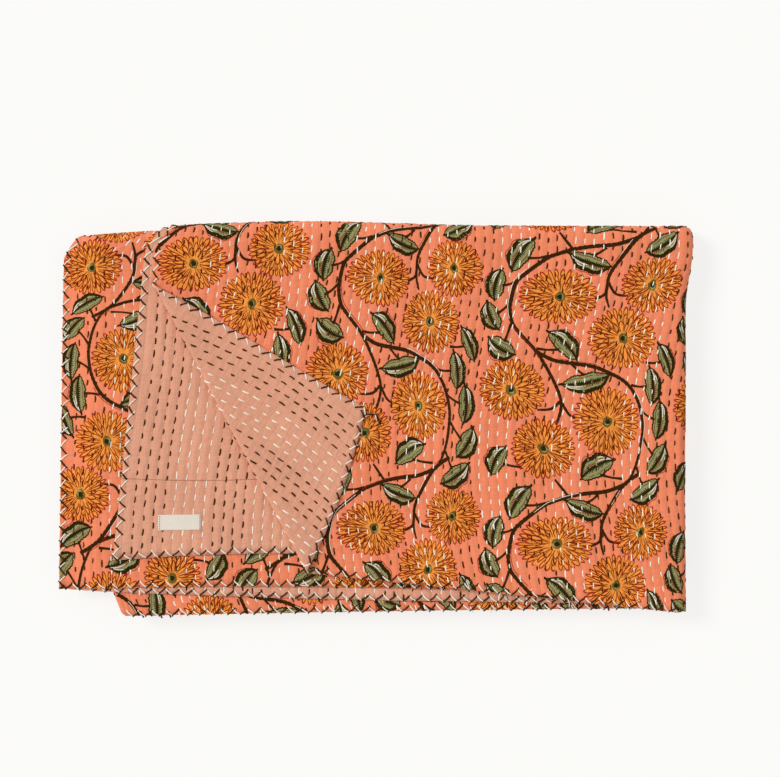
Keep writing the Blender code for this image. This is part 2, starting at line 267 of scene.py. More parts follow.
# The free leaves at the left droop: how far, from where, over what reach, and from what height up.
Droop = namedtuple("Droop", "fall from_x reach_x from_z reach_z")
DROOPS = (Droop(2.6 * MM, -246.0 * MM, 46.0 * MM, 0.0, 2.0 * PITCH),
          Droop(6.5 * MM, -256.0 * MM, 38.0 * MM, 4.0 * PITCH, 8.0 * PITCH))
SWELL_X, SWELL_Y, SWELL_SLANT = 61.0 * MM, 47.0 * MM, 39.0 * MM   # broad swells of the top


def settle(x, y, z):
    """Lay the tidy block down as cloth lies: uneven crease and sides, and drooping free leaves."""
    z += REST_HEIGHT
    share = z / REST_HEIGHT
    arch = ARCH * exp(-((x - ARCH_AT) / ARCH_REACH) ** 2)
    sunk = SUNK * max(0.0, (SUNK_FROM - x) / SUNK_REACH) ** 2
    new_y = y + (arch - sunk) * soft_step((y - CREASE_FROM) / CREASE_REACH)
    right = soft_step((x - SIDE_FROM) / SIDE_REACH)
    sway = SIDE_NEAR + SIDE_RISE * soft_step((y - RISE_FROM) / RISE_REACH)
    peep = PEEP * (1.0 - share) * (0.55 + 0.45 * sin(y / PEEP_REACH))
    new_z = z
    for droop in DROOPS:
        outward = soft_step((droop.from_x - x) / droop.reach_x)
        new_z -= droop.fall * outward * min(max((z - droop.from_z) / droop.reach_z, 0.0), 1.0)
    swell = 0.8 * sin(x / SWELL_X + 0.7) * sin(y / SWELL_Y + 0.4) + 0.5 * sin((x + y) / SWELL_SLANT)
    new_z += swell * MM * share * share
    return x + right * (sway + peep) - MIDDLE_X, new_y - MIDDLE_Y, new_z


print("top of the block:", [round(v / MM, 1) for v in settle(0.0, 0.0, CLOTH / 2)])


# %% Fold a point of a leaf
def y_when_folded(level, y):
    """Where y of a leaf comes to lie once it has gone over the far crease."""
    past = y - FAR_LINE
    if past <= 0.0:
        return y
    reach = level + FULL_TURN
    if past < pi * reach:
        return FAR_LINE + reach * sin(past / reach)
    return FAR_LINE - (past - pi * reach)


def wind(level, bent_left, x, y, rise):
    """A point wound round the bends of the block, before anything settles."""
    height = level + rise
    if x > RIGHT_LINE:
        angle = (x - RIGHT_LINE) / abs(level - RIGHT_CENTRE)
        reach = height - RIGHT_CENTRE
        x = RIGHT_LINE + abs(reach) * sin(angle)
        height = RIGHT_CENTRE + reach * cos(angle)
    elif bent_left:
        line = left_turn_line(y_when_folded(level, y))
        if x < line:
            angle = (line - x) / abs(level - LEFT_CENTRE)
            reach = height - LEFT_CENTRE
            x = line - abs(reach) * sin(angle)
            height = LEFT_CENTRE + reach * cos(angle)
    past = y - FAR_LINE
    if past <= 0.0:
        return x, y, height
    crease = level + FULL_TURN
    turn = past / crease
    if turn < pi:
        reach = height + FULL_TURN
        return x, FAR_LINE + reach * sin(turn), -FULL_TURN + reach * cos(turn)
    back = FAR_LINE - (past - pi * crease)
    return x, back, LOWEST - height


PRESSED = -0.4 * MM           # ink and thread beneath the block are pressed flat at this height


def place(leaf, x, y, rise):
    """Where a point of a leaf lies, with the corner turned back and the block settled."""
    wound = wind(level_of(leaf), leaf in "EFGH", x, y, rise)
    if leaf == "A" and y < FAR_LINE:
        wound = turn_corner_back(*wound)
    x, y, z = settle(*wound)
    return x, y, max(z, PRESSED)


print("near right corner of leaf A:", [round(v / MM, 1) for v in place("A", RIGHT_LINE, -178 * MM, 0.0)])

# %% [markdown]
# ## The cloth
# The throw is one sheet, so it is one mesh: a grid whose columns run through leaf A, the right bend,
# leaf H and so on to leaf D, and whose rows run from the near hem over the crease, beneath, and back
# as leaves B, G, F and C. The grid is fine where it shows and coarse inside the stack. Its thickness
# comes from a Solidify modifier, which also gives the printed face and the backing their own material.

# %% Lay out the grid of the sheet
Span = namedtuple("Span", "first second steps")
ACROSS = [Span("A", "B", 196), Span("A", "B", 8), Span("H", "G", 8), Span("H", "G", 6),
          Span("E", "F", 14), Span("E", "F", 6), Span("D", "C", 46)]
LEAF_1, RIGHT_OUT, LEAF_2, LEFT_TURN, LEAF_3, RIGHT_IN, LEAF_4 = range(7)
NEAR_UP, OVER, BACK_UNDER, DOUBLE, UNDER_UP, OVER_BACK, NEAR_DOWN = range(7)
ALONG_STEPS = (62, 10, 18, 4, 10, 6, 40)


def grid_lines(counts):
    """Span and share of every grid line."""
    lines = [(0, 0.0)]
    for span, count in enumerate(counts):
        lines += [(span, step / count) for step in range(1, count + 1)]
    return lines


def uneven(span, share):
    """Crowd the lines of the last leaf towards its free left end, which shows."""
    return 1.0 - (1.0 - share) ** 3.0 if span == LEAF_4 else share


def column_x(span, level, left, share):
    """x of a column where it crosses a leaf, which counts on round a bend."""
    if span in (LEAF_1, LEAF_3):
        return between(left, RIGHT_LINE, share)
    if span in (LEAF_2, LEAF_4):
        return between(RIGHT_LINE, left, share)
    if span == LEFT_TURN:
        return left - pi * abs(level - LEFT_CENTRE) * share
    return RIGHT_LINE + pi * abs(level - RIGHT_CENTRE) * share


def row_end(span, share, second, reading):
    """Near end of the rows: a hem or a doubling, which a bend carries from one leaf to the next."""
    leaves = "BGFC" if second else "AHED"
    leaf = leaves[span // 2]
    if span in (LEAF_1, LEAF_3):
        return reading(leaf, share)
    if span in (LEAF_2, LEAF_4):
        return reading(leaf, 1.0 - share)
    end = 0.0 if span == LEFT_TURN else 1.0
    return between(reading(leaf, end), reading(leaves[span // 2 + 1], end), share)


columns = grid_lines([span.steps for span in ACROSS])
rows = grid_lines(ALONG_STEPS)
print("grid:", len(columns), "x", len(rows), "->", 4 * len(columns) * len(rows), "triangles")


# %% Work out one point of the sheet
SIDE_FADE, HEM_FADE = 60, 30  # the scallops fade this quickly away from an edge


def sheet_point(column, row):
    """A grid point of the sheet wound round the bends, and its leaf and place on that leaf."""
    span, share = column
    stage, part = row
    share = uneven(span, share)
    mixed = 0.5 * (1.0 - cos(pi * part)) if stage == DOUBLE else float(stage > DOUBLE)
    first, second = ACROSS[span].first, ACROSS[span].second
    leaf = second if mixed > 0.5 else first
    level = between(level_of(first), level_of(second), mixed)
    if stage in (NEAR_DOWN, OVER_BACK, UNDER_UP):
        part = 1.0 - part
    if stage in (NEAR_UP, NEAR_DOWN):
        y = between(row_end(span, share, mixed > 0.5, hem_at), FAR_LINE, part)
    elif stage in (OVER, OVER_BACK):
        y = FAR_LINE + crease_length(level) * part
    else:
        beneath = FAR_LINE - row_end(span, share, mixed > 0.5, doubling_at)
        y = FAR_LINE + crease_length(level) + beneath * (1.0 if stage == DOUBLE else part)
        y += 0.5 * PITCH * sin(pi * part) if stage == DOUBLE else 0.0
    y_folded = y_when_folded(level, y)
    left = between(left_end(first, y_folded), left_end(second, y_folded), mixed)
    x = column_x(span, level, left, share)
    if leaf in "ABCD":
        x -= scallop(y) * (1.0 - width_share(leaf, x, y_folded)) ** SIDE_FADE
        if stage in (NEAR_UP, NEAR_DOWN):
            y -= scallop(x) * (1.0 - part) ** HEM_FADE
    rise = puff(leaf, x, y, y_folded) if stage != DOUBLE else 0.0
    return wind(level, leaf in "EFGH", x, y, rise), (leaf, x, y)


middle_of_hem, _ = sheet_point((LEAF_1, 0.5), (NEAR_UP, 0.0))
print("hem of leaf A at its middle:", [round(v / MM, 1) for v in middle_of_hem])


# %% Build the sheet
BEND_OF_H, BEND_OF_G = 22.0 * MM, 16.0 * MM    # cloth in the right bends that lead to these leaves
COUNTED_ON = 700.0 * MM       # the leaves that come back are counted from far on


def woven_place(leaf, x, y):
    """Distances across and along the flat throw, so that the weave runs on round the side bends and
    over the crease. Leaves B, G, F and C start afresh, where a doubling hides the change."""
    wide = RIGHT_LINE - LEFT_LINE
    across = {"A": x, "B": x, "H": 2 * RIGHT_LINE - x + BEND_OF_H, "G": 2 * RIGHT_LINE - x + BEND_OF_G,
              "E": wide + RIGHT_LINE + x, "F": wide + RIGHT_LINE + x,
              "D": 2 * wide + 2 * RIGHT_LINE - x, "C": 2 * wide + 2 * RIGHT_LINE - x}[leaf]
    along = y if leaf in "AHED" else 4 * FAR_LINE + COUNTED_ON - y
    return across, along


def start_maps(mesh_data):
    """Room to note for each point where it lies on the flat throw and among the rows."""
    mesh_data.verts.layers.float_vector.new("woven")
    mesh_data.verts.layers.float_vector.new("quilted")


def note_place(mesh_data, vertex, leaf, x, y):
    vertex[mesh_data.verts.layers.float_vector["woven"]] = (*woven_place(leaf, x, y), 0.0)
    vertex[mesh_data.verts.layers.float_vector["quilted"]] = (*quilted_place(leaf, x, y), 0.0)


def build_sheet():
    sheet = bmesh.new()
    bmesh.ops.create_grid(sheet, x_segments=len(columns) - 1, y_segments=len(rows) - 1, size=0.5)
    start_maps(sheet)
    top_leaf = set()
    for vertex in sheet.verts:
        column = round((vertex.co.x + 0.5) * (len(columns) - 1))
        row = round((vertex.co.y + 0.5) * (len(rows) - 1))
        if columns[column][0] == LEAF_1 and rows[row][0] == NEAR_UP:
            top_leaf.add(vertex)
        spot, (leaf, x, y) = sheet_point(columns[column], rows[row])
        note_place(sheet, vertex, leaf, x, y)
        vertex.co = spot
    return sheet, top_leaf


sheet_mesh, top_leaf = build_sheet()
print("sheet:", len(sheet_mesh.verts), "points,", len(top_leaf), "on leaf A")

# %% Cut the bend of the corner round and turn it back
BEND_CUTS = 10
CUT_MARGIN = 0.02 * MM
WELD = 0.25 * MM              # cuts that fall this near a grid point are welded to it


def in_order(parts):
    """Each part once, in the order of its first place, so that every run makes the same cuts."""
    return list(dict.fromkeys(parts))


def cut_beside_fold(sheet, top_leaf):
    """Cut leaf A along lines beside the fold of its corner, so that the bend is round."""
    cloth = [face for face in sheet.faces if all(corner in top_leaf for corner in face.verts)]
    reaches = [pi * FLAP_RADIUS * cut / BEND_CUTS for cut in range(BEND_CUTS + 1)]
    for reach in reaches:
        near = [face for face in cloth if face.is_valid]
        geometry = near + in_order(edge for face in near for edge in face.edges)
        geometry += in_order(corner for face in near for corner in face.verts)
        origin = Vector((FLAP_START[0] + OUTWARD[0] * reach, FLAP_START[1] + OUTWARD[1] * reach, 0.0))
        cut = bmesh.ops.bisect_plane(sheet, geom=geometry, dist=CUT_MARGIN, plane_co=origin,
                                     plane_no=Vector((*OUTWARD, 0.0)))
        cloth = [piece for piece in cut["geom"] if isinstance(piece, bmesh.types.BMFace)]
    corners = in_order(vertex for face in cloth for vertex in face.verts)
    bmesh.ops.remove_doubles(sheet, verts=corners, dist=WELD)
    return [vertex for vertex in corners if vertex.is_valid]


top_points = cut_beside_fold(sheet_mesh, top_leaf)
for vertex in top_points:
    vertex.co = turn_corner_back(*vertex.co)
for vertex in sheet_mesh.verts:
    vertex.co = settle(*vertex.co)
print("points of leaf A after the cuts:", len(top_points))


# %% Make the sheet an object with a thickness
def finish_mesh(name, mesh_data, materials):
    """Turn mesh data into a smooth object that carries the given materials."""
    mesh = bpy.data.meshes.new(name)
    mesh_data.to_mesh(mesh)
    mesh_data.free()
    for material in materials:
        mesh.materials.append(material)
    mesh.shade_smooth()
    piece = bpy.data.objects.new(name, mesh)
    bpy.context.scene.collection.objects.link(piece)
    return piece


def write_maps(mesh_data):
    """Copy the noted places to two UV maps, one for the weave and one for the puckers."""
    for map_name, noted in (("weave", "woven"), ("rows", "quilted")):
        uv_map = mesh_data.loops.layers.uv.new(map_name)
        places = mesh_data.verts.layers.float_vector[noted]
        for face in mesh_data.faces:
            for loop in face.loops:
                loop[uv_map].uv = loop.vert[places][:2]
        mesh_data.verts.layers.float_vector.remove(places)


write_maps(sheet_mesh)
print("maps written for", len(sheet_mesh.faces), "faces")

# %% [markdown]
# ## Cotton
# Printed cotton is matt. Its colour is never even: dye takes a little differently from yarn to yarn, so
# long faint streaks run along both directions of the weave. They come from noise that reads the weave
# map, so they follow the cloth round every bend. The puckers are finer than the grid of the sheet, so
# they are a second bump, which reads the map of the rows: soft swellings between two rows, and short
# wrinkles across them.

# %% Mix the parts of a cotton finish
def dye(red, green, blue):
    """A colour given as on a paint chart, from 0 to 255, as the shader wants it."""
    return tuple(((value / 255 + 0.055) / 1.055) ** 2.4 for value in (red, green, blue))


def reckon(nodes, links, operation, first, second=None):
    """A calculating node; each of the two values is a socket or a number."""
    node = nodes.new("ShaderNodeMath")
    node.operation = operation
    for number, value in enumerate((first, second)):
        if isinstance(value, (int, float)):
            node.inputs[number].default_value = value
        elif value is not None:
            links.new(value, node.inputs[number])
    return node.outputs[0]


def noise_on(nodes, links, uv_map, stretch, detail=3.0):
    """Noise on a map, drawn out by its stretch across and along."""
    scaled = nodes.new("ShaderNodeVectorMath")
    scaled.operation = "MULTIPLY"
    scaled.inputs[1].default_value = (*stretch, 1.0)
    links.new(uv_map.outputs["UV"], scaled.inputs[0])
    noise = nodes.new("ShaderNodeTexNoise")
    noise.inputs["Scale"].default_value = 1.0
    noise.inputs["Detail"].default_value = detail
    links.new(scaled.outputs[0], noise.inputs["Vector"])
    return noise.outputs["Fac"]


def read_map(nodes, name):
    uv_map = nodes.new("ShaderNodeUVMap")
    uv_map.uv_map = name
    return uv_map


def pucker_height(nodes, links):
    """Soft swellings between rows of stitches, crossed by short wrinkles."""
    rows_map = read_map(nodes, "rows")
    parts = nodes.new("ShaderNodeSeparateXYZ")
    links.new(rows_map.outputs["UV"], parts.inputs[0])
    wave = reckon(nodes, links, "SINE", reckon(nodes, links, "MULTIPLY", parts.outputs[0], pi))
    swelling = reckon(nodes, links, "POWER", reckon(nodes, links, "ABSOLUTE", wave), 0.7)
    lumps = noise_on(nodes, links, rows_map, (0.9, 0.8), 2.0)
    wrinkles = noise_on(nodes, links, rows_map, (0.6, 2.6), 3.0)
    creases = noise_on(nodes, links, rows_map, (2.3, 0.5), 3.0)
    folds = reckon(nodes, links, "ADD", wrinkles, reckon(nodes, links, "MULTIPLY", creases, 0.6))
    return reckon(nodes, links, "ADD", reckon(nodes, links, "MULTIPLY", swelling, lumps), folds)


print("a paint-chart white is", dye(255, 255, 255))


# %% Weave the finish
MATT = 0.9
YARNS_ACROSS, YARNS_ALONG, CLOUDS = (900.0, 60.0), (70.0, 900.0), (22.0, 22.0)    # to a metre
DYE_FROM, DYE_TO = 1.1, 1.9   # the three noises, added up, run over about this range
YARN_STRENGTH, YARN_DEPTH, PUCKER_DEPTH = 0.3, 0.3 * MM, 2.2 * MM


def streaky(nodes, links, clouded, colour, unevenness):
    """A colour that runs from a darker to a lighter dye."""
    ramp = nodes.new("ShaderNodeMapRange")
    ramp.inputs["From Min"].default_value = DYE_FROM
    ramp.inputs["From Max"].default_value = DYE_TO
    links.new(clouded, ramp.inputs["Value"])
    tint = nodes.new("ShaderNodeMix")
    tint.data_type = "RGBA"
    tint.inputs["A"].default_value = (*(channel * (1.0 - unevenness) for channel in colour), 1.0)
    tint.inputs["B"].default_value = (*(min(channel * (1.0 + unevenness), 1.0) for channel in colour), 1.0)
    links.new(ramp.outputs["Result"], tint.inputs["Factor"])
    return tint.outputs["Result"]


def bump_on(nodes, links, height, strength, depth, under=None):
    """A bump, laid over another one where one is given."""
    bump = nodes.new("ShaderNodeBump")
    bump.inputs["Strength"].default_value = strength
    bump.inputs["Distance"].default_value = depth
    links.new(height, bump.inputs["Height"])
    if under is not None:
        links.new(under, bump.inputs["Normal"])
    return bump.outputs["Normal"]


def cotton(name, colour, unevenness=0.10, puckers=0.5, sheen=0.08):
    """A woven finish: streaky dye, fine yarns as bump, and puckers between the rows."""
    material = bpy.data.materials.new(name)
    material.use_nodes = True
    nodes, links = material.node_tree.nodes, material.node_tree.links
    shader = nodes["Principled BSDF"]
    shader.inputs["Roughness"].default_value = MATT
    shader.inputs["Sheen Weight"].default_value = sheen
    shader.inputs["Specular IOR Level"].default_value = sheen
    weave_map = read_map(nodes, "weave")
    yarns = reckon(nodes, links, "ADD", noise_on(nodes, links, weave_map, YARNS_ACROSS),
                   noise_on(nodes, links, weave_map, YARNS_ALONG))
    clouded = reckon(nodes, links, "ADD", yarns, noise_on(nodes, links, weave_map, CLOUDS))
    links.new(streaky(nodes, links, clouded, colour, unevenness), shader.inputs["Base Color"])
    surface = bump_on(nodes, links, yarns, YARN_STRENGTH, YARN_DEPTH)
    if puckers:
        surface = bump_on(nodes, links, pucker_height(nodes, links), puckers, PUCKER_DEPTH, surface)
    links.new(surface, shader.inputs["Normal"])
    return material


CORAL = cotton("coral_printed_ground", dye(240, 137, 99))
PEACH = cotton("peach_backing", dye(224, 160, 131), puckers=0.6)
print("finishes:", CORAL.name, PEACH.name)

# %% Thicken the sheet
throw = finish_mesh("quilted_throw", sheet_mesh, [CORAL, PEACH])
thickness = throw.modifiers.new("Thickness", "SOLIDIFY")
thickness.thickness = CLOTH
thickness.offset = 0.0
thickness.use_even_offset = True
thickness.material_offset = 1
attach(throw, "root")
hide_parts("blanket")
print("throw:", len(throw.data.polygons), "faces before its thickness")

# %% [markdown]
# ## Nets laid on the cloth
# Ink, thread and tape all lie on the cloth, so they share one helper. A net is a few lines of points,
# each with its place on a leaf and its height over the cloth. lay() folds the points just as the cloth
# is folded, trims them at the leaf's edges and joins the lines with faces. A picture texture would do
# for the print too, but shapes stay sharp however near the camera comes.

# %% Find what part of a leaf can be seen
COVERED = 7.0 * MM            # the print runs on this far under the leaf that covers it
INSIDE_HEM = 0.3 * MM


def side_reach(leaf):
    """How far past its right line a leaf's print shows: round the outer bend, on leaf A alone."""
    return pi * abs(level_of("A") - RIGHT_CENTRE) if leaf == "A" else 0.0


def seen_left(leaf, y_folded):
    """Left end of what is seen of a leaf: leaf E shows round its left bend too."""
    left = left_end(leaf, y_folded)
    return left - pi * abs(level_of("E") - LEFT_CENTRE) if leaf == "E" else left


def shows(leaf, x, y):
    """Whether a point of a leaf lies inside its edges and where it can be seen."""
    level = level_of(leaf)
    y_folded = y_when_folded(level, y)
    if x < seen_left(leaf, y_folded) or x > RIGHT_LINE + side_reach(leaf) or y < near_hem(leaf, x):
        return False
    back = FAR_LINE + crease_length(level) + FAR_LINE - doubling_at(leaf, width_share(leaf, x, y_folded))
    if y > back:
        return False
    if leaf == "A":
        return past_fold(x, y) < COVERED or y > FAR_LINE
    if leaf == "B":
        return y < FAR_LINE and past_fold(x, y) > -COVERED
    if leaf in "CD":
        return x < left_end("B", y_folded) + COVERED or (y < FAR_LINE and y < near_hem("B", x) + COVERED)
    return y < near_hem("C", x) + COVERED or (x < left_end("E", y_folded) and y < FAR_LINE)


def trim(leaf, x, y):
    """The nearest point that lies on the leaf."""
    left = seen_left(leaf, y_when_folded(level_of(leaf), y))
    x = min(max(x, left), RIGHT_LINE + side_reach(leaf))
    return x, max(y, near_hem(leaf, x) + INSIDE_HEM)


print("centre of leaf A shows:", shows("A", 0.0, 0.0), "and of leaf C:", shows("C", 0.0, 0.0))


# %% Lay a net on a leaf
def start_net():
    net = bmesh.new()
    start_maps(net)
    return net


def lay(net, leaf, lines, ring=False, trimmed=True, backing=False):
    """Lay lines of (x, y, height over the cloth) on a leaf and join them with faces."""
    level = level_of(leaf)
    face_height = -CLOTH / 2 if backing else CLOTH / 2
    laid = []
    for line in lines:
        spots = []
        for x, y, height in line:
            if trimmed:
                x, y = trim(leaf, x, y)
            stands = puff(leaf, x, y, y_when_folded(level, y))
            lifted = stands + face_height + (-height if backing else height)
            vertex = net.verts.new(place(leaf, x, y, lifted))
            note_place(net, vertex, leaf, x, y)
            spots.append(vertex)
        laid.append(spots)
    turns = len(lines[0]) if ring else len(lines[0]) - 1
    for first, second, first_spots, second_spots in zip(lines, lines[1:], laid, laid[1:]):
        for step in range(turns):
            after = (step + 1) % len(first)
            if trimmed:
                corners = (first[step], first[after], second[after], second[step])
                middle_x = sum(corner[0] for corner in corners) / 4
                middle_y = sum(corner[1] for corner in corners) / 4
                if not shows(leaf, middle_x, middle_y):
                    continue
            net.faces.new((first_spots[step], first_spots[after], second_spots[after], second_spots[step]))


def finish_net(name, net, material):
    """Drop the points that no face uses and turn a net into a piece of the throw."""
    loose = [vertex for vertex in net.verts if not vertex.link_faces]
    bmesh.ops.delete(net, geom=loose, context="VERTS")
    write_maps(net)
    faces = len(net.faces)
    piece = finish_mesh(name, net, [material])
    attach(piece, "root")
    print(name, "faces:", faces)


print("a trimmed corner of leaf A:", [round(v / MM, 1) for v in trim("A", -1.0, -1.0)])

# %% [markdown]
# ## The block print
# The face is printed with carved blocks, one for each colour, and a small repeat fills the whole cloth:
# six marigolds and fourteen leaves on two winding stems. Each colour is its own thin layer of ink, a
# little higher than the one before, as on the cloth. The tables below give one repeat in millimetres
# from its first flower, and the printer's slight misses between blocks are kept. The places were set
# out beside the photograph, and none of the shapes is traced.

# %% Give the heights of the inks
INK_HEIGHTS = {"orange": 0.20 * MM, "sage": 0.20 * MM, "brown": 0.24 * MM, "olive": 0.24 * MM,
               "maroon": 0.28 * MM, "red": 0.28 * MM, "dark": 0.31 * MM, "cream": 0.33 * MM}
inks = {name: start_net() for name in INK_HEIGHTS}
print("inks:", ", ".join(inks))

# %% Set a block down on the cloth
Stamp = namedtuple("Stamp", "leaf x y turned")
Drift = namedtuple("Drift", "mean swing crest length")
FAR_DRIFT = Drift(2.8 * MM, 7.4 * MM, -37.7 * MM, 288.0 * MM)
NEAR_DRIFT = Drift(9.3 * MM, 4.2 * MM, 206.0 * MM, 219.0 * MM)
FAR_DRIFT_FROM = -80.0 * MM   # left of this the far drift stays as it is here
DRIFT_FROM, DRIFT_REACH = 84.0 * MM, 195.0 * MM
EVEN_RIGHT, EVEN_LEFT = 0.88, 0.955    # the repeat was measured where the print is stretched
C_DRAWN_DOWN, C_DRAWN_FROM, C_DRAWN_REACH = 14.0 * MM, 62.0 * MM, 90.0 * MM


def drifted(drift, x):
    return drift.mean + drift.swing * cos(tau * (x - drift.crest) / drift.length)


def drawn_together(x, y):
    """How far the quilting has drawn the print of leaf A to the right of its even place."""
    far = drifted(FAR_DRIFT, max(x, FAR_DRIFT_FROM))
    near = drifted(NEAR_DRIFT, x)
    return between(far, near, soft_step((DRIFT_FROM - y) / DRIFT_REACH))


def stamped(stamp, u, v, height):
    """A point of the repeat, in millimetres, moved to where the block is set down. The quilting draws
    the print of leaf A sideways, and that of leaf C towards the near side by the crease."""
    u *= EVEN_RIGHT if u > 0.0 else EVEN_LEFT
    x, y = stamp.x + stamp.turned * u * MM, stamp.y + stamp.turned * v * MM
    if stamp.leaf == "A":
        x += drawn_together(x, y)
    elif stamp.leaf == "C":
        y -= C_DRAWN_DOWN * soft_step((y - C_DRAWN_FROM) / C_DRAWN_REACH)
    return x, y, height


def near_leaf(stamp, u, v, reach):
    """Whether anything within reach of a point of the repeat can show on the leaf."""
    x, y, _ = stamped(stamp, u, v, 0.0)
    tests = [(x, y)]
    for eighth in range(8):
        turn = tau * eighth / 8
        away = (0.5 if eighth % 2 else 1.0) * reach * MM
        tests.append((x + away * cos(turn), y + away * sin(turn)))
    return any(shows(stamp.leaf, *test) for test in tests)


print("leaf A is drawn", round(drawn_together(0.0, 0.0) / MM, 1), "mm to the right at its middle")


# %% Draw printed lines
INK_STEP = 2.6                # millimetres between the points of a printed line


def smooth_line(points, step=INK_STEP):
    """Points along a soft curve through the given ones."""
    ends = [points[0]] + list(points) + [points[-1]]
    curve = []
    for before, first, last, after in zip(ends, ends[1:], ends[2:], ends[3:]):
        pieces = max(1, ceil(hypot(last[0] - first[0], last[1] - first[1]) / step))
        for piece in range(pieces):
            t = piece / pieces
            weights = (-0.5 * t + t * t - 0.5 * t ** 3, 1.0 - 2.5 * t * t + 1.5 * t ** 3,
                       0.5 * t + 2.0 * t * t - 1.5 * t ** 3, -0.5 * t * t + 0.5 * t ** 3)
            curve.append(tuple(sum(weight * point[axis] for weight, point in
                                   zip(weights, (before, first, last, after))) for axis in (0, 1)))
    curve.append(tuple(points[-1]))
    return curve


def print_line(ink, stamp, points, widths):
    """A printed line through points, as wide at each as widths says."""
    right, left = [], []
    for index, (u, v) in enumerate(points):
        before = points[max(index - 1, 0)]
        after = points[min(index + 1, len(points) - 1)]
        length = hypot(after[0] - before[0], after[1] - before[1]) or 1.0
        sideways = (-(after[1] - before[1]) / length, (after[0] - before[0]) / length)
        half = 0.5 * widths[index]
        left.append(stamped(stamp, u + sideways[0] * half, v + sideways[1] * half, INK_HEIGHTS[ink]))
        right.append(stamped(stamp, u - sideways[0] * half, v - sideways[1] * half, INK_HEIGHTS[ink]))
    lay(inks[ink], stamp.leaf, [right, left])


print("a line of 20 mm takes", len(smooth_line([(0.0, 0.0), (20.0, 0.0)])), "points")

# %% [markdown]
# ### Marigold
# A marigold is an orange oval with a scalloped rim. Over it lie three rings of petals, each petal the
# outline of a long narrow loop: red on the rim, maroon within. Its eye is an olive spot, a green one
# that misses it a little, and a dark one on top. Every petal could be drawn by hand, but on the cloth
# no two are the same and none matters by itself, so a rule draws them with small chance changes.

# %% Print a marigold
Flower = namedtuple("Flower", "u v half_width half_height")
FLOWERS = (
    Flower(0.0, 0.0, 34.5, 24.5),
    Flower(90.0, 11.0, 31.0, 25.3),
    Flower(61.0, -38.5, 34.0, 27.4),
    Flower(-44.0, -86.0, 29.0, 27.5),
    Flower(43.0, -116.0, 33.0, 31.0),
    Flower(-19.5, -141.0, 27.5, 27.0),
)
PetalRing = namedtuple("PetalRing", "ink petals tip base width")
PETAL_RINGS = (PetalRing("red", 34, 1.04, 0.68, 0.95), PetalRing("maroon", 24, 0.84, 0.40, 0.9),
               PetalRing("maroon", 15, 0.59, 0.22, 0.85))
PETAL_STEP = 2.4              # millimetres: short enough that a petal follows the puffs of the cloth
PETAL_SHOULDER = 0.62         # a petal is widest this far along
RIM_DIP, RIM_RAGGED = 0.035, 0.012
ORANGE_MISS = (0.5, 0.3)      # millimetres between the orange block and the others
EYE = 3.6                     # millimetres
SPOT_POINTS = 11


def ring_point(flower, share, angle):
    return (flower.u + flower.half_width * share * cos(angle),
            flower.v + flower.half_height * share * sin(angle))


def print_ground(stamp, flower, draw):
    """The orange ground of a marigold: rings of points out to a scalloped rim."""
    around = 2 * PETAL_RINGS[0].petals
    rings = ceil(flower.half_width / INK_STEP)
    ragged = [draw.uniform(-RIM_RAGGED, RIM_RAGGED) for _ in range(around)]
    lines = []
    for ring in range(rings + 1):
        share = max(ring / rings, 0.02)
        line = []
        for step in range(around):
            dip = (RIM_DIP * (step % 2) + ragged[step]) * share ** 6
            u, v = ring_point(flower, share - dip, tau * step / around)
            line.append(stamped(stamp, u + ORANGE_MISS[0], v + ORANGE_MISS[1], INK_HEIGHTS["orange"]))
        lines.append(line)
    lay(inks["orange"], stamp.leaf, lines[::-1], ring=True)


def print_petals(stamp, flower, ring, stagger, draw):
    """One ring of petals, each drawn as a narrow loop that is open towards the centre."""
    half = pi / ring.petals
    for petal in range(ring.petals):
        middle = tau * (petal + stagger) / ring.petals + draw.uniform(-0.2, 0.2) * half
        tip = ring.tip + draw.uniform(-0.04, 0.03)
        base = ring.base + draw.uniform(-0.08, 0.07)
        bend = draw.uniform(-0.2, 0.2) * half
        wide = draw.uniform(0.5, 0.85) * half
        shoulder = between(base, tip, PETAL_SHOULDER)
        loop = [ring_point(flower, base, middle - 0.8 * wide + bend),
                ring_point(flower, shoulder, middle - wide),
                ring_point(flower, tip, middle + 0.2 * bend),
                ring_point(flower, shoulder, middle + wide),
                ring_point(flower, base + draw.uniform(-0.03, 0.08), middle + 0.8 * wide + bend)]
        thick = ring.width * draw.uniform(0.8, 1.2)
        outline = smooth_line(loop, PETAL_STEP)
        last = len(outline) - 1
        widths = [thick * (0.5 + 0.6 * sin(pi * index / last)) for index in range(last + 1)]
        print_line(ring.ink, stamp, outline, widths)


def print_spot(ink, stamp, u, v, reach, above, draw):
    """A ragged round spot of ink, which lies a little above its own ink elsewhere."""
    ragged = [1.0 + draw.uniform(-0.2, 0.2) for _ in range(SPOT_POINTS)]
    rings = []
    for size in (reach, 0.5 * reach, 0.02 * reach):
        rings.append([stamped(stamp, u + size * ragged[step] * cos(tau * step / SPOT_POINTS),
                              v + size * ragged[step] * sin(tau * step / SPOT_POINTS),
                              INK_HEIGHTS[ink] + above) for step in range(SPOT_POINTS)])
    lay(inks[ink], stamp.leaf, rings, ring=True)


def print_centre(stamp, flower, draw):
    """The eye of a marigold: an olive spot, a green one that misses it a little, and a dark one."""
    off = (draw.uniform(-1.2, 1.6), draw.uniform(-1.4, 1.0))
    print_spot("olive", stamp, flower.u, flower.v, 1.35 * EYE, 0.09 * MM, draw)
    print_spot("sage", stamp, flower.u + off[0], flower.v + off[1], 0.8 * EYE, 0.16 * MM, draw)
    print_spot("dark", stamp, flower.u, flower.v, 0.7 * EYE, 0.09 * MM, draw)


def print_flower(stamp, flower, draw):
    print_ground(stamp, flower, draw)
    for number, ring in enumerate(PETAL_RINGS):
        print_petals(stamp, flower, ring, 0.5 * (number % 2), draw)
    print_centre(stamp, flower, draw)


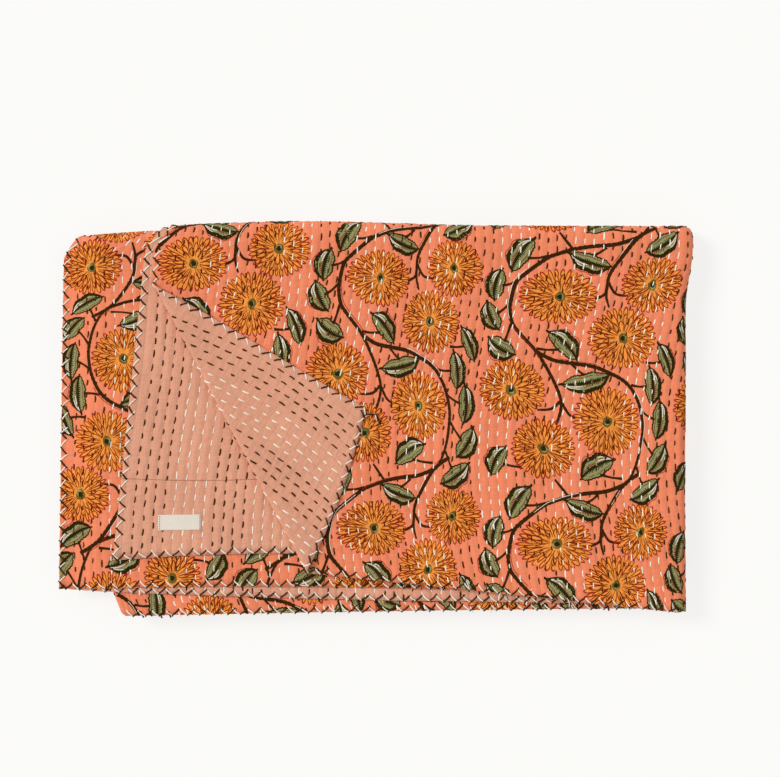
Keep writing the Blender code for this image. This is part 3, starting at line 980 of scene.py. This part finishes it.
print("marigolds in a repeat:", len(FLOWERS))

# %% [markdown]
# ### Leaf
# A leaf is a half moon of sage green with a bold dark edge on its round side and a rib along its
# middle, toothed with dark on one side and with maroon on the other, and broken cream lights beside
# it. One leaf could be made once and copied, but the printed ones differ in length, width and bend, so
# each is a row of a table, and one function draws them all from the same few lines.

# %% Print a leaf
Sprig = namedtuple("Sprig", "first_u first_v last_u last_v width stem_u stem_v")
SPRIGS = (
    Sprig(-22, 53, -41, 24, 17, -9, 38), Sprig(-50, 25, -57, -3, 16, -36, 15),
    Sprig(-64, -5, -53, -30, 16, -43, -6), Sprig(-62, -38, -39, -53, 18, -42, -25),
    Sprig(10, 40, 46, 28, 15, 42, 46), Sprig(-9, -33, 15, -58, 17, -20, -48),
    Sprig(1, -81, 46, -73, 16, 11, -63), Sprig(99, -44, 112, -74, 14, 85, -61),
    Sprig(89, -66, 91, -100, 16, 69, -82), Sprig(100, -97, 96, -132, 16, 78, -105),
    Sprig(106, -137, 86, -163, 18, 81, -131), Sprig(98, -170, 66, -188, 17, 73, -158),
    Sprig(47, -152, 13, -169, 19, 57, -169), Sprig(-53, -140, -68, -165, 16, -40, -158),
)
LEAF_BOW, LEAF_LOBES = 0.19, 0.035    # shares of the leaf's width
TOOTH_STEP = 3.6              # millimetres
TEETH = (("maroon", 0.2, 0.44), ("dark", -0.1, -0.34))
RED_CHANCE = 0.6              # of a red line beside the leaf, where the blocks missed
LEAF_CURL = ((0.9, 0.10), (0.5, -0.02), (-0.4, -0.08), (-1.6, -0.03))
LeafLine = namedtuple("LeafLine", "ink across first last teeth thin more")
LEAF_LINES = (
    LeafLine("dark", 0.92, -0.05, 1.05, -0.6, 1.7, 2.2),
    LeafLine("dark", -0.96, 0.02, 0.98, -0.7, 1.0, 0.5),
    LeafLine("dark", 0.0, 0.03, 0.97, 0.0, 1.2, 1.8),
    LeafLine("cream", 0.26, 0.08, 0.46, 0.6, 0.4, 0.5),
    LeafLine("cream", 0.64, 0.03, 0.34, -0.6, 0.5, 0.3),
    LeafLine("maroon", -0.66, 0.12, 0.88, -0.5, 0.5, 0.2),
)


def round_side(sprig):
    """1 or -1: the side of a leaf, seen from its first tip to its last, that is away from its stem."""
    turn = (sprig.last_u - sprig.first_u) * (sprig.stem_v - sprig.first_v)
    turn -= (sprig.last_v - sprig.first_v) * (sprig.stem_u - sprig.first_u)
    return -1.0 if turn > 0.0 else 1.0


def leaf_line(sprig, across, first, last, steps, teeth=0.0):
    """A line along a leaf from share first to last of its length, at a share across it towards its
    round side: the whole leaf bows to that side. Every other point can stand out as a tooth."""
    long_u, long_v = sprig.last_u - sprig.first_u, sprig.last_v - sprig.first_v
    length = hypot(long_u, long_v)
    side_u, side_v = -long_v / length * round_side(sprig), long_u / length * round_side(sprig)
    line = []
    for step in range(steps + 1):
        along = between(first, last, step / steps)
        fullness = max(0.0, 1.0 - abs(2.0 * along - 1.0) ** 3.0)
        lobes = LEAF_LOBES * sin(5.0 * pi * along + sprig.first_u) * abs(across)
        out = (0.52 * across + LEAF_BOW + lobes) * sprig.width * fullness + teeth * (step % 2)
        line.append((sprig.first_u + long_u * along + side_u * out,
                     sprig.first_v + long_v * along + side_v * out))
    return line


def print_leaf_ground(stamp, sprig, draw):
    """The sage ground of a leaf, which misses its lines a little."""
    shift = (draw.uniform(-0.7, 0.7), draw.uniform(-0.7, 0.7))
    ground = []
    for across in (-1.0, -0.6, -0.2, 0.2, 0.6, 1.0):
        ground.append([stamped(stamp, u + shift[0], v + shift[1], INK_HEIGHTS["sage"])
                       for u, v in leaf_line(sprig, across, 0.0, 1.0, 14)])
    lay(inks["sage"], stamp.leaf, ground)


def leaf_spot(sprig, across, share):
    return leaf_line(sprig, across, share, share, 1)[0]


def print_teeth(stamp, sprig, steps, draw):
    for tooth in range(1, steps):
        share = tooth / steps
        for ink, inner, outer in TEETH:
            far_end = outer + draw.uniform(-0.1, 0.08)
            tooth_line = [leaf_spot(sprig, inner, share), leaf_spot(sprig, far_end, share + 0.02)]
            print_line(ink, stamp, tooth_line, (1.3, 0.6))


def print_stalk(stamp, sprig):
    """The curl at the foot of a leaf, and the stalk that ties its side to the stem."""
    curl = smooth_line([leaf_spot(sprig, across, share) for across, share in LEAF_CURL], 1.5)
    print_line("dark", stamp, curl, [2.0] * len(curl))
    joint = leaf_spot(sprig, -0.85, 0.5)
    stalk = smooth_line([(sprig.stem_u, sprig.stem_v), (between(sprig.stem_u, joint[0], 0.5),
                        between(sprig.stem_v, joint[1], 0.5) - 0.8), joint])
    last = len(stalk) - 1
    print_line("brown", stamp, stalk, [1.9 + 0.8 * abs(2 * index / last - 1) for index in range(last + 1)])


def print_leaf(stamp, sprig, draw):
    """One leaf: its ground, its lines from edge to edge, the teeth of its rib, and its stalk."""
    length = hypot(sprig.last_u - sprig.first_u, sprig.last_v - sprig.first_v)
    steps = 2 * round(length / TOOTH_STEP)
    swell = [sin(pi * step / steps) for step in range(steps + 1)]
    print_leaf_ground(stamp, sprig, draw)
    for ink, across, first, last, teeth, thin, more in LEAF_LINES:
        print_line(ink, stamp, leaf_line(sprig, across, first, last, steps, teeth),
                   [thin + more * part for part in swell])
    print_teeth(stamp, sprig, steps, draw)
    if draw.random() < RED_CHANCE:
        print_line("red", stamp, leaf_line(sprig, 1.26, 0.15, 0.85, steps), [0.5] * (steps + 1))
    print_stalk(stamp, sprig)


print("leaves in a repeat:", len(SPRIGS))

# %% [markdown]
# ### Stems
# Two stems wind through the repeat and run on into the next, and twigs leave them for the flowers.
# They are thick at the joints and thin at the tips, and a red and a cream line follow one side where
# the blocks missed each other a little. A curve with a bevel would stand up like a cord, so each stem
# is a flat line of ink, laid as the petals are.

# %% Print the stems
STEMS = (
    ((71, 55), (51, 49), (30, 47), (12, 44), (-4, 39), (-12, 35), (-31, 20), (-38, 12), (-42, -3),
     (-43, -12), (-41, -24), (-35, -33), (-20, -51), (-9, -72), (-2, -92), (-2, -105), (-7, -119)),
    ((-20, -51), (-5, -59), (13, -62), (32, -65), (45, -70), (58, -76), (68, -84), (75, -95), (79, -106),
     (81, -121), (79, -135), (75, -150), (68, -165), (60, -175)),
    ((90, 66), (71, 55), (56, 37), (46, 21), (44, 8), (42, 2), (33, -2)),
    ((45, 14), (44, 1), (47, -10)),
    ((45, 14), (53, 3), (66, 1)),
    ((-2, -97), (-10, -104), (-22, -105)),
    ((-1, -98), (5, -109), (11, -113)),
    ((12, 44), (0, 60)),
)
STEM_WIDE, TWIG_WIDE = 3.6, 2.6    # millimetres
STEM_POINTS = 7               # a line with fewer points is a twig


def print_stem(stamp, points, wide, draw):
    curve = smooth_line(points)
    last = len(curve) - 1
    widths = [wide * (0.85 + 0.3 * sin(1.7 * index) ** 2) * (1.0 - 0.35 * (index / last) ** 3)
              for index in range(last + 1)]
    print_line("brown", stamp, curve, widths)
    side = draw.choice((-1.0, 1.0))
    for ink, away, thick in (("red", 0.95, 0.5), ("cream", 0.75, 0.45)):
        first = draw.uniform(0.05, 0.6)
        part = curve[int(first * last):int((first + draw.uniform(0.15, 0.35)) * last)]
        if len(part) > 3 and len(points) >= STEM_POINTS:
            moved = [(u + side * away * 0.7 * wide, v + away * 0.6 * wide) for u, v in part]
            print_line(ink, stamp, moved, [thick] * len(moved))


print("stems and twigs in a repeat:", len(STEMS))


# %% Print one repeat
LEAF_REACH = 22.0             # millimetres from the middle of a leaf


def print_repeat(stamp, draw):
    """One repeat of the print, each motif only where the leaf of cloth can show it."""
    for points in STEMS:
        print_stem(stamp, points, STEM_WIDE if len(points) >= STEM_POINTS else TWIG_WIDE, draw)
    for sprig in SPRIGS:
        middle = (0.5 * (sprig.first_u + sprig.last_u), 0.5 * (sprig.first_v + sprig.last_v))
        if near_leaf(stamp, *middle, LEAF_REACH):
            print_leaf(stamp, sprig, draw)
    for flower in FLOWERS:
        if near_leaf(stamp, flower.u, flower.v, flower.half_width):
            print_flower(stamp, flower, draw)


print("motifs in a repeat:", len(STEMS) + len(SPRIGS) + len(FLOWERS))

# %% Print the leaves of cloth that show
REPEAT_ACROSS = (173.0 * MM, -14.7 * MM)
REPEAT_DOWN = (-11.2 * MM, -229.7 * MM)
FIRST_STAMPS = (Stamp("A", 169.7 * MM, 114.4 * MM, 1.0), Stamp("C", -196.7 * MM, -58.6 * MM, -1.0),
                Stamp("E", 60.0 * MM, -120.0 * MM, 1.0))
REACH_X, REACH_Y = (-0.75, 0.75), (-0.6, 1.1)    # metres: a repeat outside these misses the cloth
printer = Random(7)
stamps = 0
for first in FIRST_STAMPS:
    for column in range(-4, 5):
        for row in range(-5, 4):
            x = first.x + first.turned * (column * REPEAT_ACROSS[0] + row * REPEAT_DOWN[0])
            y = first.y + first.turned * (column * REPEAT_ACROSS[1] + row * REPEAT_DOWN[1])
            if REACH_X[0] < x < REACH_X[1] and REACH_Y[0] < y < REACH_Y[1]:
                print_repeat(first._replace(x=x, y=y), printer)
                stamps += 1
print("repeats stamped:", stamps)

# %% [markdown]
# ### Print on the folds beneath
# At the near side, under the hems, the sheet doubles back in four tight folds. Only a few millimetres
# of print show on each, as short bars of colour: a flower is a long orange bar with maroon ticks, a
# leaf a green bar with three dark ones, a stem a brown bar. The whole repeat could be wrapped round
# each fold, but bars laid on its outside show the same.

# %% Print the doubled folds
FOLD_PAIRS = ("AB", "HG", "EF", "DC")
FOLD_STATIONS = (-1.25, -0.75, -0.25, 0.25, 0.75, 1.25)     # round the fold, in radians
FOLD_STEP = 3.0 * MM
FOLD_AT = -150.0 * MM         # about where the folds lie
BARS_FROM, BARS_TO = 12.0 * MM, 125.0 * MM    # in from the left edge and from the right bends


def fold_spot(pair, x, turn, height):
    """A point on the outside of a doubled fold beneath, at a turn from its middle."""
    share = width_share(pair[0], x, FOLD_AT)
    line = 0.5 * (doubling_at(pair[0], share) + doubling_at(pair[1], share))
    middle = LOWEST - 0.5 * (level_of(pair[0]) + level_of(pair[1]))
    reach = 0.5 * PITCH + 0.5 * CLOTH + height
    upper_first = -1.0 if level_of(pair[0]) > level_of(pair[1]) else 1.0
    return settle(x, line - reach * cos(turn), middle - upper_first * reach * sin(turn))


def print_bar(ink, pair, first_x, last_x, slant, inset=0):
    """A bar of ink along a fold, its ends on a slant."""
    net = inks[ink]
    stations = FOLD_STATIONS[inset:len(FOLD_STATIONS) - inset]
    columns = max(1, ceil((last_x - first_x) / FOLD_STEP))
    spots = []
    for step in range(columns + 1):
        x = between(first_x, last_x, step / columns)
        line = []
        for turn in stations:
            across = x + slant * turn * MM
            line.append(net.verts.new(fold_spot(pair, across, turn, INK_HEIGHTS[ink])))
            note_place(net, line[-1], pair[0], across, turn * MM)
        spots.append(line)
    for first, second in zip(spots, spots[1:]):
        for station in range(len(stations) - 1):
            net.faces.new((first[station], first[station + 1], second[station + 1], second[station]))


def print_fold(pair, draw):
    """Bars for flower, leaf and stem in turn, along one fold."""
    x = left_end(pair[0], FOLD_AT) + BARS_FROM
    while x < RIGHT_LINE - BARS_TO:
        slant = draw.uniform(-1.6, 1.6)
        flower = draw.uniform(25.0, 55.0) * MM
        print_bar("orange", pair, x, x + flower, slant)
        tick = x + 1.0 * MM
        while tick < x + flower - 1.0 * MM:
            print_bar("maroon", pair, tick, tick + 0.8 * MM, draw.uniform(-1.5, 1.5), inset=1)
            tick += draw.uniform(3.0, 5.5) * MM
        x += flower + draw.uniform(9.0, 16.0) * MM
        leaf = draw.uniform(11.0, 18.0) * MM
        print_bar("sage", pair, x, x + leaf, slant)
        for edge in (x, x + 0.5 * leaf, x + leaf - 1.8 * MM):
            print_bar("dark", pair, edge, edge + 1.8 * MM, slant)
        x += leaf + draw.uniform(10.0, 22.0) * MM
        print_bar("brown", pair, x, x + 3.0 * MM, draw.uniform(-3.0, 3.0))
        x += draw.uniform(14.0, 30.0) * MM


for pair in FOLD_PAIRS:
    print_fold(pair, printer)
print("near folds printed:", len(FOLD_PAIRS))

# %% Turn the inks into pieces
INK_COLOURS = {"orange": (243, 150, 66), "sage": (146, 146, 96), "brown": (58, 34, 12),
               "olive": (112, 92, 36), "red": (158, 36, 24), "maroon": (130, 38, 10),
               "dark": (46, 36, 12), "cream": (245, 232, 214)}
for ink, net in inks.items():
    finish_net(f"print_{ink}", net, cotton(f"{ink}_ink", dye(*INK_COLOURS[ink]), unevenness=0.14,
                                           puckers=0.3, sheen=0.02))

# %% [markdown]
# ## Running stitches
# The throw is quilted by hand in rows of running stitch, four rows in dark thread and then four in
# white. A stitch is a short raised stretch of soft thread that dives into the cloth at both ends. They
# could be instances, but each one differs in length, lean and thickness, so a loop lays each as a
# small arched net.

# %% Lay one stitch
THREAD = {"dark": 1.7 * MM, "white": 1.4 * MM}    # width
STITCH = 5.9 * MM
# Across a stitch: how far out and how high. Along it: how far and how full.
SECTION = ((-0.5, -0.30), (-0.36, 0.62), (0.0, 1.0), (0.36, 0.62), (0.5, -0.30))
STATIONS = ((-0.5, 0.25), (-0.38, 0.8), (0.0, 1.0), (0.38, 0.8), (0.5, 0.25))
threads = {"dark": start_net(), "white": start_net()}
HEIGHT_OF_THREAD = 0.75 * MM
STITCH_BOW = 0.25 * MM


def lay_stitch(colour, leaf, x, y, length, lean, wide, backing=False):
    """A short arched thread centred at a point of a leaf, leaning from the line of y."""
    lines = []
    for along, fullness in STATIONS:
        line = []
        for sideways, height in SECTION:
            reach = along * length
            out = sideways * wide * (0.55 + 0.45 * fullness)
            bow = STITCH_BOW * sin(pi * (along + 0.5)) * (1.0 if lean > 0 else -1.0)
            line.append((x + reach * sin(lean) + (out + bow) * cos(lean),
                         y + reach * cos(lean) - out * sin(lean),
                         (height * fullness - 0.35 * (1.0 - fullness)) * HEIGHT_OF_THREAD))
        lines.append(line)
    lay(threads[colour], leaf, lines, trimmed=False, backing=backing)


print("stitches to a metre of row:", round(1.0 / STITCH_STEP))

# %% Sew the rows
Seam = namedtuple("Seam", "leaf backing last_y")
SEAMS = (Seam("A", False, 0.52), Seam("A", True, 0.12), Seam("B", False, 0.175), Seam("C", False, 0.50),
         Seam("D", False, -0.12), Seam("E", False, -0.12))
NEAR_EDGE = 6.5 * MM          # the rows stop this far inside the hem
BELOW_HEM = 20.0 * MM         # a row is counted from this far below the hem
AHEAD = 2.0 * MM
ROWS_OF_A_COLOUR = 4
sewer = Random(11)


def row_shows(leaf, backing, x, y):
    if backing:
        return past_fold(x, y) > 1.5 * MM and y > near_hem(leaf, x) + NEAR_EDGE
    if leaf == "A" and y < FAR_LINE and past_fold(x, y) > 2.0 * MM:
        return False
    return shows(leaf, x, y) and shows(leaf, x, y - NEAR_EDGE) or (leaf in "DE" and shows(leaf, x, y))


def sew_row(seam, number):
    """One row of running stitch; the backing shows the thread where the face does not."""
    colour = "dark" if number // ROWS_OF_A_COLOUR % 2 == 0 else "white"
    start = sewer.random() * STITCH_STEP
    y = LEAVES[seam.leaf].hem_right * MM - BELOW_HEM + start + (0.5 * STITCH_STEP if seam.backing else 0.0)
    while y < seam.last_y:
        y_folded = y_when_folded(level_of(seam.leaf), y)
        x = row_line(seam.leaf, number, y, y_folded)
        after = row_line(seam.leaf, number, y + AHEAD, y_when_folded(level_of(seam.leaf), y + AHEAD))
        if row_shows(seam.leaf, seam.backing, x, y):
            length = STITCH * sewer.uniform(0.7, 1.25)
            lean = atan2(after - x, AHEAD) + sewer.uniform(-0.06, 0.16)
            lay_stitch(colour, seam.leaf, x + sewer.uniform(-0.4, 0.4) * MM, y, length, lean,
                       THREAD[colour] * sewer.uniform(0.8, 1.15), seam.backing)
        y += STITCH_STEP * sewer.uniform(0.85, 1.15)


for seam in SEAMS:
    for number in range(ROWS[seam.leaf].count):
        sew_row(seam, number)
print("stitch faces:", {colour: len(net.faces) for colour, net in threads.items()})

# %% [markdown]
# ## Overcast edges
# Two threads run round every edge. Each goes over the edge again and again on a slant, the dark one
# leaning one way and the white one the other, so together they make a row of small points. Here each
# turn of thread is a bent tube that starts inside the edge on one face, goes over it and ends inside
# on the other. A curve with a bevel would do on a straight edge, but these have to follow the bends of
# the block, so every ring of the tube is folded by place() as the cloth is.

# %% Lay one turn of an edge thread
TUBE_SIDES = 5
EDGE_THREAD = {"dark": 0.85 * MM, "white": 0.62 * MM}    # radius
EDGE_DEPTH = 6.4 * MM
# Stations of one turn: share of the depth inward, share of its way along the edge, height.
TURN = ((1.0, 0.0, 1.0), (0.75, 0.2, 1.6), (0.3, 0.6, 1.6), (0.0, 0.95, 1.3), (-0.12, 1.0, 0.0),
        (0.0, 1.05, -1.3), (0.3, 1.4, -1.5), (0.75, 1.8, -1.4))


def lay_tube(colour, leaf, path, thick):
    """A round thread along a path of (x, y, height over the middle of the leaf)."""
    net = threads[colour]
    laid = []
    for index, spot in enumerate(path):
        ahead = Vector(path[min(index + 1, len(path) - 1)]) - Vector(path[max(index - 1, 0)])
        sideways = ahead.cross(Vector((0.0, 0.0, 1.0)))
        if sideways.length < 1e-6:
            sideways = Vector((1.0, 0.0, 0.0))
        sideways.normalize()
        upward = sideways.cross(ahead).normalized()
        ring = []
        for side in range(TUBE_SIDES):
            turn = tau * side / TUBE_SIDES
            x, y, height = Vector(spot) + thick * (cos(turn) * sideways + sin(turn) * upward)
            ring.append(net.verts.new(place(leaf, x, y, height)))
            note_place(net, ring[-1], leaf, x, y)
        laid.append(ring)
    for first, second in zip(laid, laid[1:]):
        for side in range(TUBE_SIDES):
            after = (side + 1) % TUBE_SIDES
            net.faces.new((first[side], first[after], second[after], second[side]))
    net.faces.new(laid[0][::-1])
    net.faces.new(laid[-1])


def edge_tube(colour, leaf, edge_point, start, slant, depth, thick):
    """A turn of thread over an edge: edge_point gives the edge and the way inward at a distance."""
    path = []
    for inward, along, height in TURN:
        (x, y), (in_x, in_y) = edge_point(start + slant * (1.0 - along))
        path.append((x + in_x * inward * depth, y + in_y * inward * depth, height * 0.5 * CLOTH))
    lay_tube(colour, leaf, path, thick)


print("faces in one turn:", (len(TURN) - 1) * TUBE_SIDES + 2)


# %% Overcast the edges
def hem_point(leaf):
    """The near hem of a leaf and the way inward, at a distance along it."""
    def point(x):
        slope = (near_hem(leaf, x + 3.0 * MM) - near_hem(leaf, x - 3.0 * MM)) / (6.0 * MM)
        length = hypot(1.0, slope)
        return (x, near_hem(leaf, x)), (-slope / length, 1.0 / length)
    return point


def side_point(leaf):
    """The free left edge of a leaf and the way inward, at a distance along it past the crease too."""
    def point(y):
        return (left_end(leaf, y_when_folded(level_of(leaf), y)) - 0.5 * scallop(y), y), (1.0, 0.0)
    return point


def overcast(leaf, edge_point, first, last, dark_slant):
    """Sew both threads along an edge from a first to a last distance."""
    place_along = ceil(first / EDGE_STITCH) * EDGE_STITCH
    while place_along < last:
        for colour, slant in (("dark", dark_slant), ("white", -dark_slant)):
            start = place_along + sewer.uniform(-0.8, 0.8) * MM
            edge_tube(colour, leaf, edge_point, start, slant * EDGE_STITCH * sewer.uniform(0.42, 0.62),
                      EDGE_DEPTH * sewer.uniform(0.8, 1.15), EDGE_THREAD[colour] * sewer.uniform(0.85, 1.1))
        place_along += EDGE_STITCH


for leaf in LEAF_NAMES:
    hem_left = left_end(leaf, LEAVES[leaf].hem_left * MM)
    overcast(leaf, hem_point(leaf), hem_left + 3.0 * MM, RIGHT_LINE, 1.0)
    if leaf in "ABCD":
        crease = crease_length(level_of(leaf))
        far_end = FAR_LINE + crease + FAR_LINE - doubling_at(leaf, 0.0)
        overcast(leaf, side_point(leaf), LEAVES[leaf].hem_left * MM + 4.0 * MM, far_end, -1.0)
print("with the edge threads:", {colour: len(net.faces) for colour, net in threads.items()})

# %% Leave a few loose ends
LOOSE_THREAD = 0.4 * MM
# Thread, place along the hem, how far it hangs out, and its curl, in millimetres.
LOOSE_ENDS = (("dark", 121.0, 9.0, 2.2), ("white", 117.0, 7.0, -2.5), ("dark", 176.0, 7.0, -2.0),
              ("white", 178.0, 6.0, 2.4), ("white", -92.0, 6.0, 3.0), ("dark", 44.0, 4.0, -1.5))
for colour, along, reach, curl in LOOSE_ENDS:
    x, y = along * MM, near_hem("A", along * MM)
    path = [(x + curl * MM * sin(2.2 * share), y + (2.0 - (reach + 2.0) * share) * MM,
             (1.3 - 0.9 * share) * MM) for share in (0.0, 0.25, 0.5, 0.75, 1.0)]
    lay_tube(colour, "A", path, LOOSE_THREAD)
print("loose ends:", len(LOOSE_ENDS))

# %% Turn the threads into pieces
THREAD_COLOURS = {"dark": (72, 42, 14), "white": (252, 243, 228)}
for colour, net in threads.items():
    finish_net(f"thread_{colour}", net, cotton(f"{colour}_thread", dye(*THREAD_COLOURS[colour]),
                                               unevenness=0.12, puckers=0.0, sheen=0.02))

# %% [markdown]
# ## The seam and the label
# The backing is pieced, and one seam shows as a fine dark line on leaf B. A groove would need a finer
# sheet, so a narrow strip in the colour of its shadow is pressed on instead. The label is a bare woven
# tape. It lies flat over the rows, so it doesn't rise and fall with them, and a few stitches hold its
# two short ends. It is a small grid laid by place(), because it turns and sinks with the leaf.

# %% Press the seam of the backing
SEAM_LINE = ((-236.0, -54.5), (-200.0, -55.8), (-170.0, -56.4), (-140.0, -56.0), (-104.0, -55.0))
SEAM_HALF, SEAM_HEIGHT = 0.3, 0.08 * MM
seam_net = start_net()
seam_points = smooth_line(SEAM_LINE)
seam_sides = [[(u * MM, (v + side) * MM, SEAM_HEIGHT) for u, v in seam_points]
              for side in (-SEAM_HALF, SEAM_HALF)]
lay(seam_net, "B", seam_sides)
finish_net("backing_seam", seam_net, cotton("seam_shadow", dye(172, 112, 86)))

# %% Cut the label
TAPE_MIDDLE = (-182.3, -95.3)    # millimetres
TAPE_SIZE = (40.0, 14.5)         # millimetres
TAPE_LEAN = 0.012                # it was sewn on slightly askew
TAPE_CORNER = 0.9                # millimetres
TAPE_LIFT = 0.55 * MM
TAPE_THICKNESS = 0.45 * MM
TAPE_STEPS = (40, 14)
TAPE_DIP, DIP_SHARE = 0.35 * MM, 0.06    # the short ends are sewn down


def tape_point(across, along):
    """A point of the tape, in shares from -0.5 to 0.5, with its corners a little rounded."""
    u, v = across * TAPE_SIZE[0], along * TAPE_SIZE[1]
    near_end = max(0.0, abs(u) - 0.5 * TAPE_SIZE[0] + TAPE_CORNER) / TAPE_CORNER
    near_side = max(0.0, abs(v) - 0.5 * TAPE_SIZE[1] + TAPE_CORNER) / TAPE_CORNER
    drawn_in = 0.3 * TAPE_CORNER * near_end * near_side
    u -= drawn_in * (1.0 if u > 0.0 else -1.0)
    v -= drawn_in * (1.0 if v > 0.0 else -1.0)
    return (TAPE_MIDDLE[0] + u) * MM, (TAPE_MIDDLE[1] + v + TAPE_LEAN * u) * MM


tape = bmesh.new()
start_maps(tape)
bmesh.ops.create_grid(tape, x_segments=TAPE_STEPS[0], y_segments=TAPE_STEPS[1], size=0.5)
for vertex in tape.verts:
    x, y = tape_point(vertex.co.x, vertex.co.y)
    dipped = TAPE_DIP * max(0.0, 2.0 * abs(vertex.co.x) - (1.0 - DIP_SHARE)) / DIP_SHARE
    note_place(tape, vertex, "B", x, y)
    vertex.co = place("B", x, y, 0.5 * CLOTH + TAPE_LIFT - dipped)
write_maps(tape)
print("label:", TAPE_SIZE[0], "x", TAPE_SIZE[1], "mm,", len(tape.faces), "faces")

# %% Sew on the label
TAPE = cotton("label_tape", dye(230, 220, 207), unevenness=0.05, puckers=0.0)
label = finish_mesh("label_tape", tape, [TAPE])
tape_depth = label.modifiers.new("Thickness", "SOLIDIFY")
tape_depth.thickness = TAPE_THICKNESS
tape_depth.offset = 0.0
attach(label, "root")
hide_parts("label")
print("label sewn on, in slot label_tape")

# %% Stitch down its short ends
END_STITCHES, END_PITCH = 6, 2.3    # millimetres from one to the next
STITCHED_AT = 0.47            # share of the tape's width
END_LENGTH, END_HALF = 1.5, 0.35    # millimetres
tape_stitches = start_net()
for end in (-1.0, 1.0):
    for step in range(END_STITCHES):
        u, v = end * STITCHED_AT * TAPE_SIZE[0], (step - 2.5) * END_PITCH
        middle_y = TAPE_MIDDLE[1] + v + TAPE_LEAN * u
        stitch = [[((TAPE_MIDDLE[0] + u + side * END_HALF) * MM, (middle_y + along * END_LENGTH) * MM,
                    TAPE_LIFT + (0.18 + 0.25 * (1.0 - 4.0 * along * along) * (1.0 - abs(side))) * MM)
                   for side in (-1.0, 0.0, 1.0)] for along in (-0.5, -0.25, 0.0, 0.25, 0.5)]
        lay(tape_stitches, "B", stitch, trimmed=False)
finish_net("label_stitches", tape_stitches,
           cotton("label_thread", dye(172, 160, 142), puckers=0.0))

# %% [markdown]
# ## Stage
# The throw was photographed from straight above on a white ground, in soft light from the left. A
# broad sun with a wide angle gives the same soft, even light everywhere, and the ground glows a
# little, as white paper does when a picture is exposed brightly, so that its shadows stay faint.

# %% Lay the floor
FLOOR_COLOUR, FLOOR_GLOW = 0.17, 0.79
FLOOR_SIZE = 400.0            # metres, so that its edge stays out of sight from the sides too
FLOOR_BELOW = 0.1 * MM        # clear of the lowest threads
bpy.ops.mesh.primitive_plane_add(size=FLOOR_SIZE, location=(0.0, 0.0, PRESSED - FLOOR_BELOW))
floor = bpy.context.object
floor.name = "floor"
floor_material = bpy.data.materials.new("pale_floor")
floor_material.use_nodes = True
floor_shader = floor_material.node_tree.nodes["Principled BSDF"]
floor_shader.inputs["Base Color"].default_value = (FLOOR_COLOUR, FLOOR_COLOUR, 0.97 * FLOOR_COLOUR, 1.0)
floor_shader.inputs["Roughness"].default_value = 0.9
floor_shader.inputs["Emission Color"].default_value = (1.0, 0.995, 0.98, 1.0)
floor_shader.inputs["Emission Strength"].default_value = FLOOR_GLOW
floor.data.materials.append(floor_material)
print("floor at", round(floor.location.z / MM, 2), "mm")

# %% Light the stage
SKY_STRENGTH = 0.57
SUN_STRENGTH = 1.85
SUN_WIDTH = radians(22.0)     # a wide sun has soft shadows
SUN_WAY = Vector((1.0, -0.45, -1.0))
world = bpy.data.worlds.new("studio")
world.use_nodes = True
world.node_tree.nodes["Background"].inputs["Color"].default_value = (1.0, 1.0, 1.0, 1.0)
world.node_tree.nodes["Background"].inputs["Strength"].default_value = SKY_STRENGTH
bpy.context.scene.world = world

sun_data = bpy.data.lights.new("window_light", "SUN")
sun_data.energy = SUN_STRENGTH
sun_data.angle = SUN_WIDTH
sun_data.color = (1.0, 0.985, 0.96)
sun = bpy.data.objects.new("window_light", sun_data)
sun.rotation_euler = SUN_WAY.to_track_quat("-Z", "Y").to_euler()
bpy.context.scene.collection.objects.link(sun)
sun_height = degrees(atan2(-SUN_WAY.z, hypot(SUN_WAY.x, SUN_WAY.y)))
print(f"light comes from the left and the far side, at {sun_height:.0f} degrees")

# %% [markdown]
# ## Camera
# The photograph shows the block without slant, so the camera looks straight down. Its lens is a guess,
# a usual one for a picture of goods, and its height follows from the width that it has to take in.

# %% Set up the camera
LENS, SENSOR = 85.0, 36.0     # millimetres, as Blender counts them
PIXEL = 0.93 * MM
VIEW_WIDTH = 780 * PIXEL
VIEW_MIDDLE = (13.6 * MM, 27.9 * MM)
camera_data = bpy.data.cameras.new("camera")
camera_data.lens = LENS
camera_data.sensor_width = SENSOR
camera_data.sensor_fit = "HORIZONTAL"
camera = bpy.data.objects.new("camera", camera_data)
camera_height = VIEW_WIDTH * LENS / SENSOR
camera.location = (*VIEW_MIDDLE, camera_height + REST_HEIGHT)
bpy.context.scene.collection.objects.link(camera)
bpy.context.scene.camera = camera
bpy.context.scene.view_settings.view_transform = "Standard"
print(f"camera {camera_height:.2f} m above the throw")
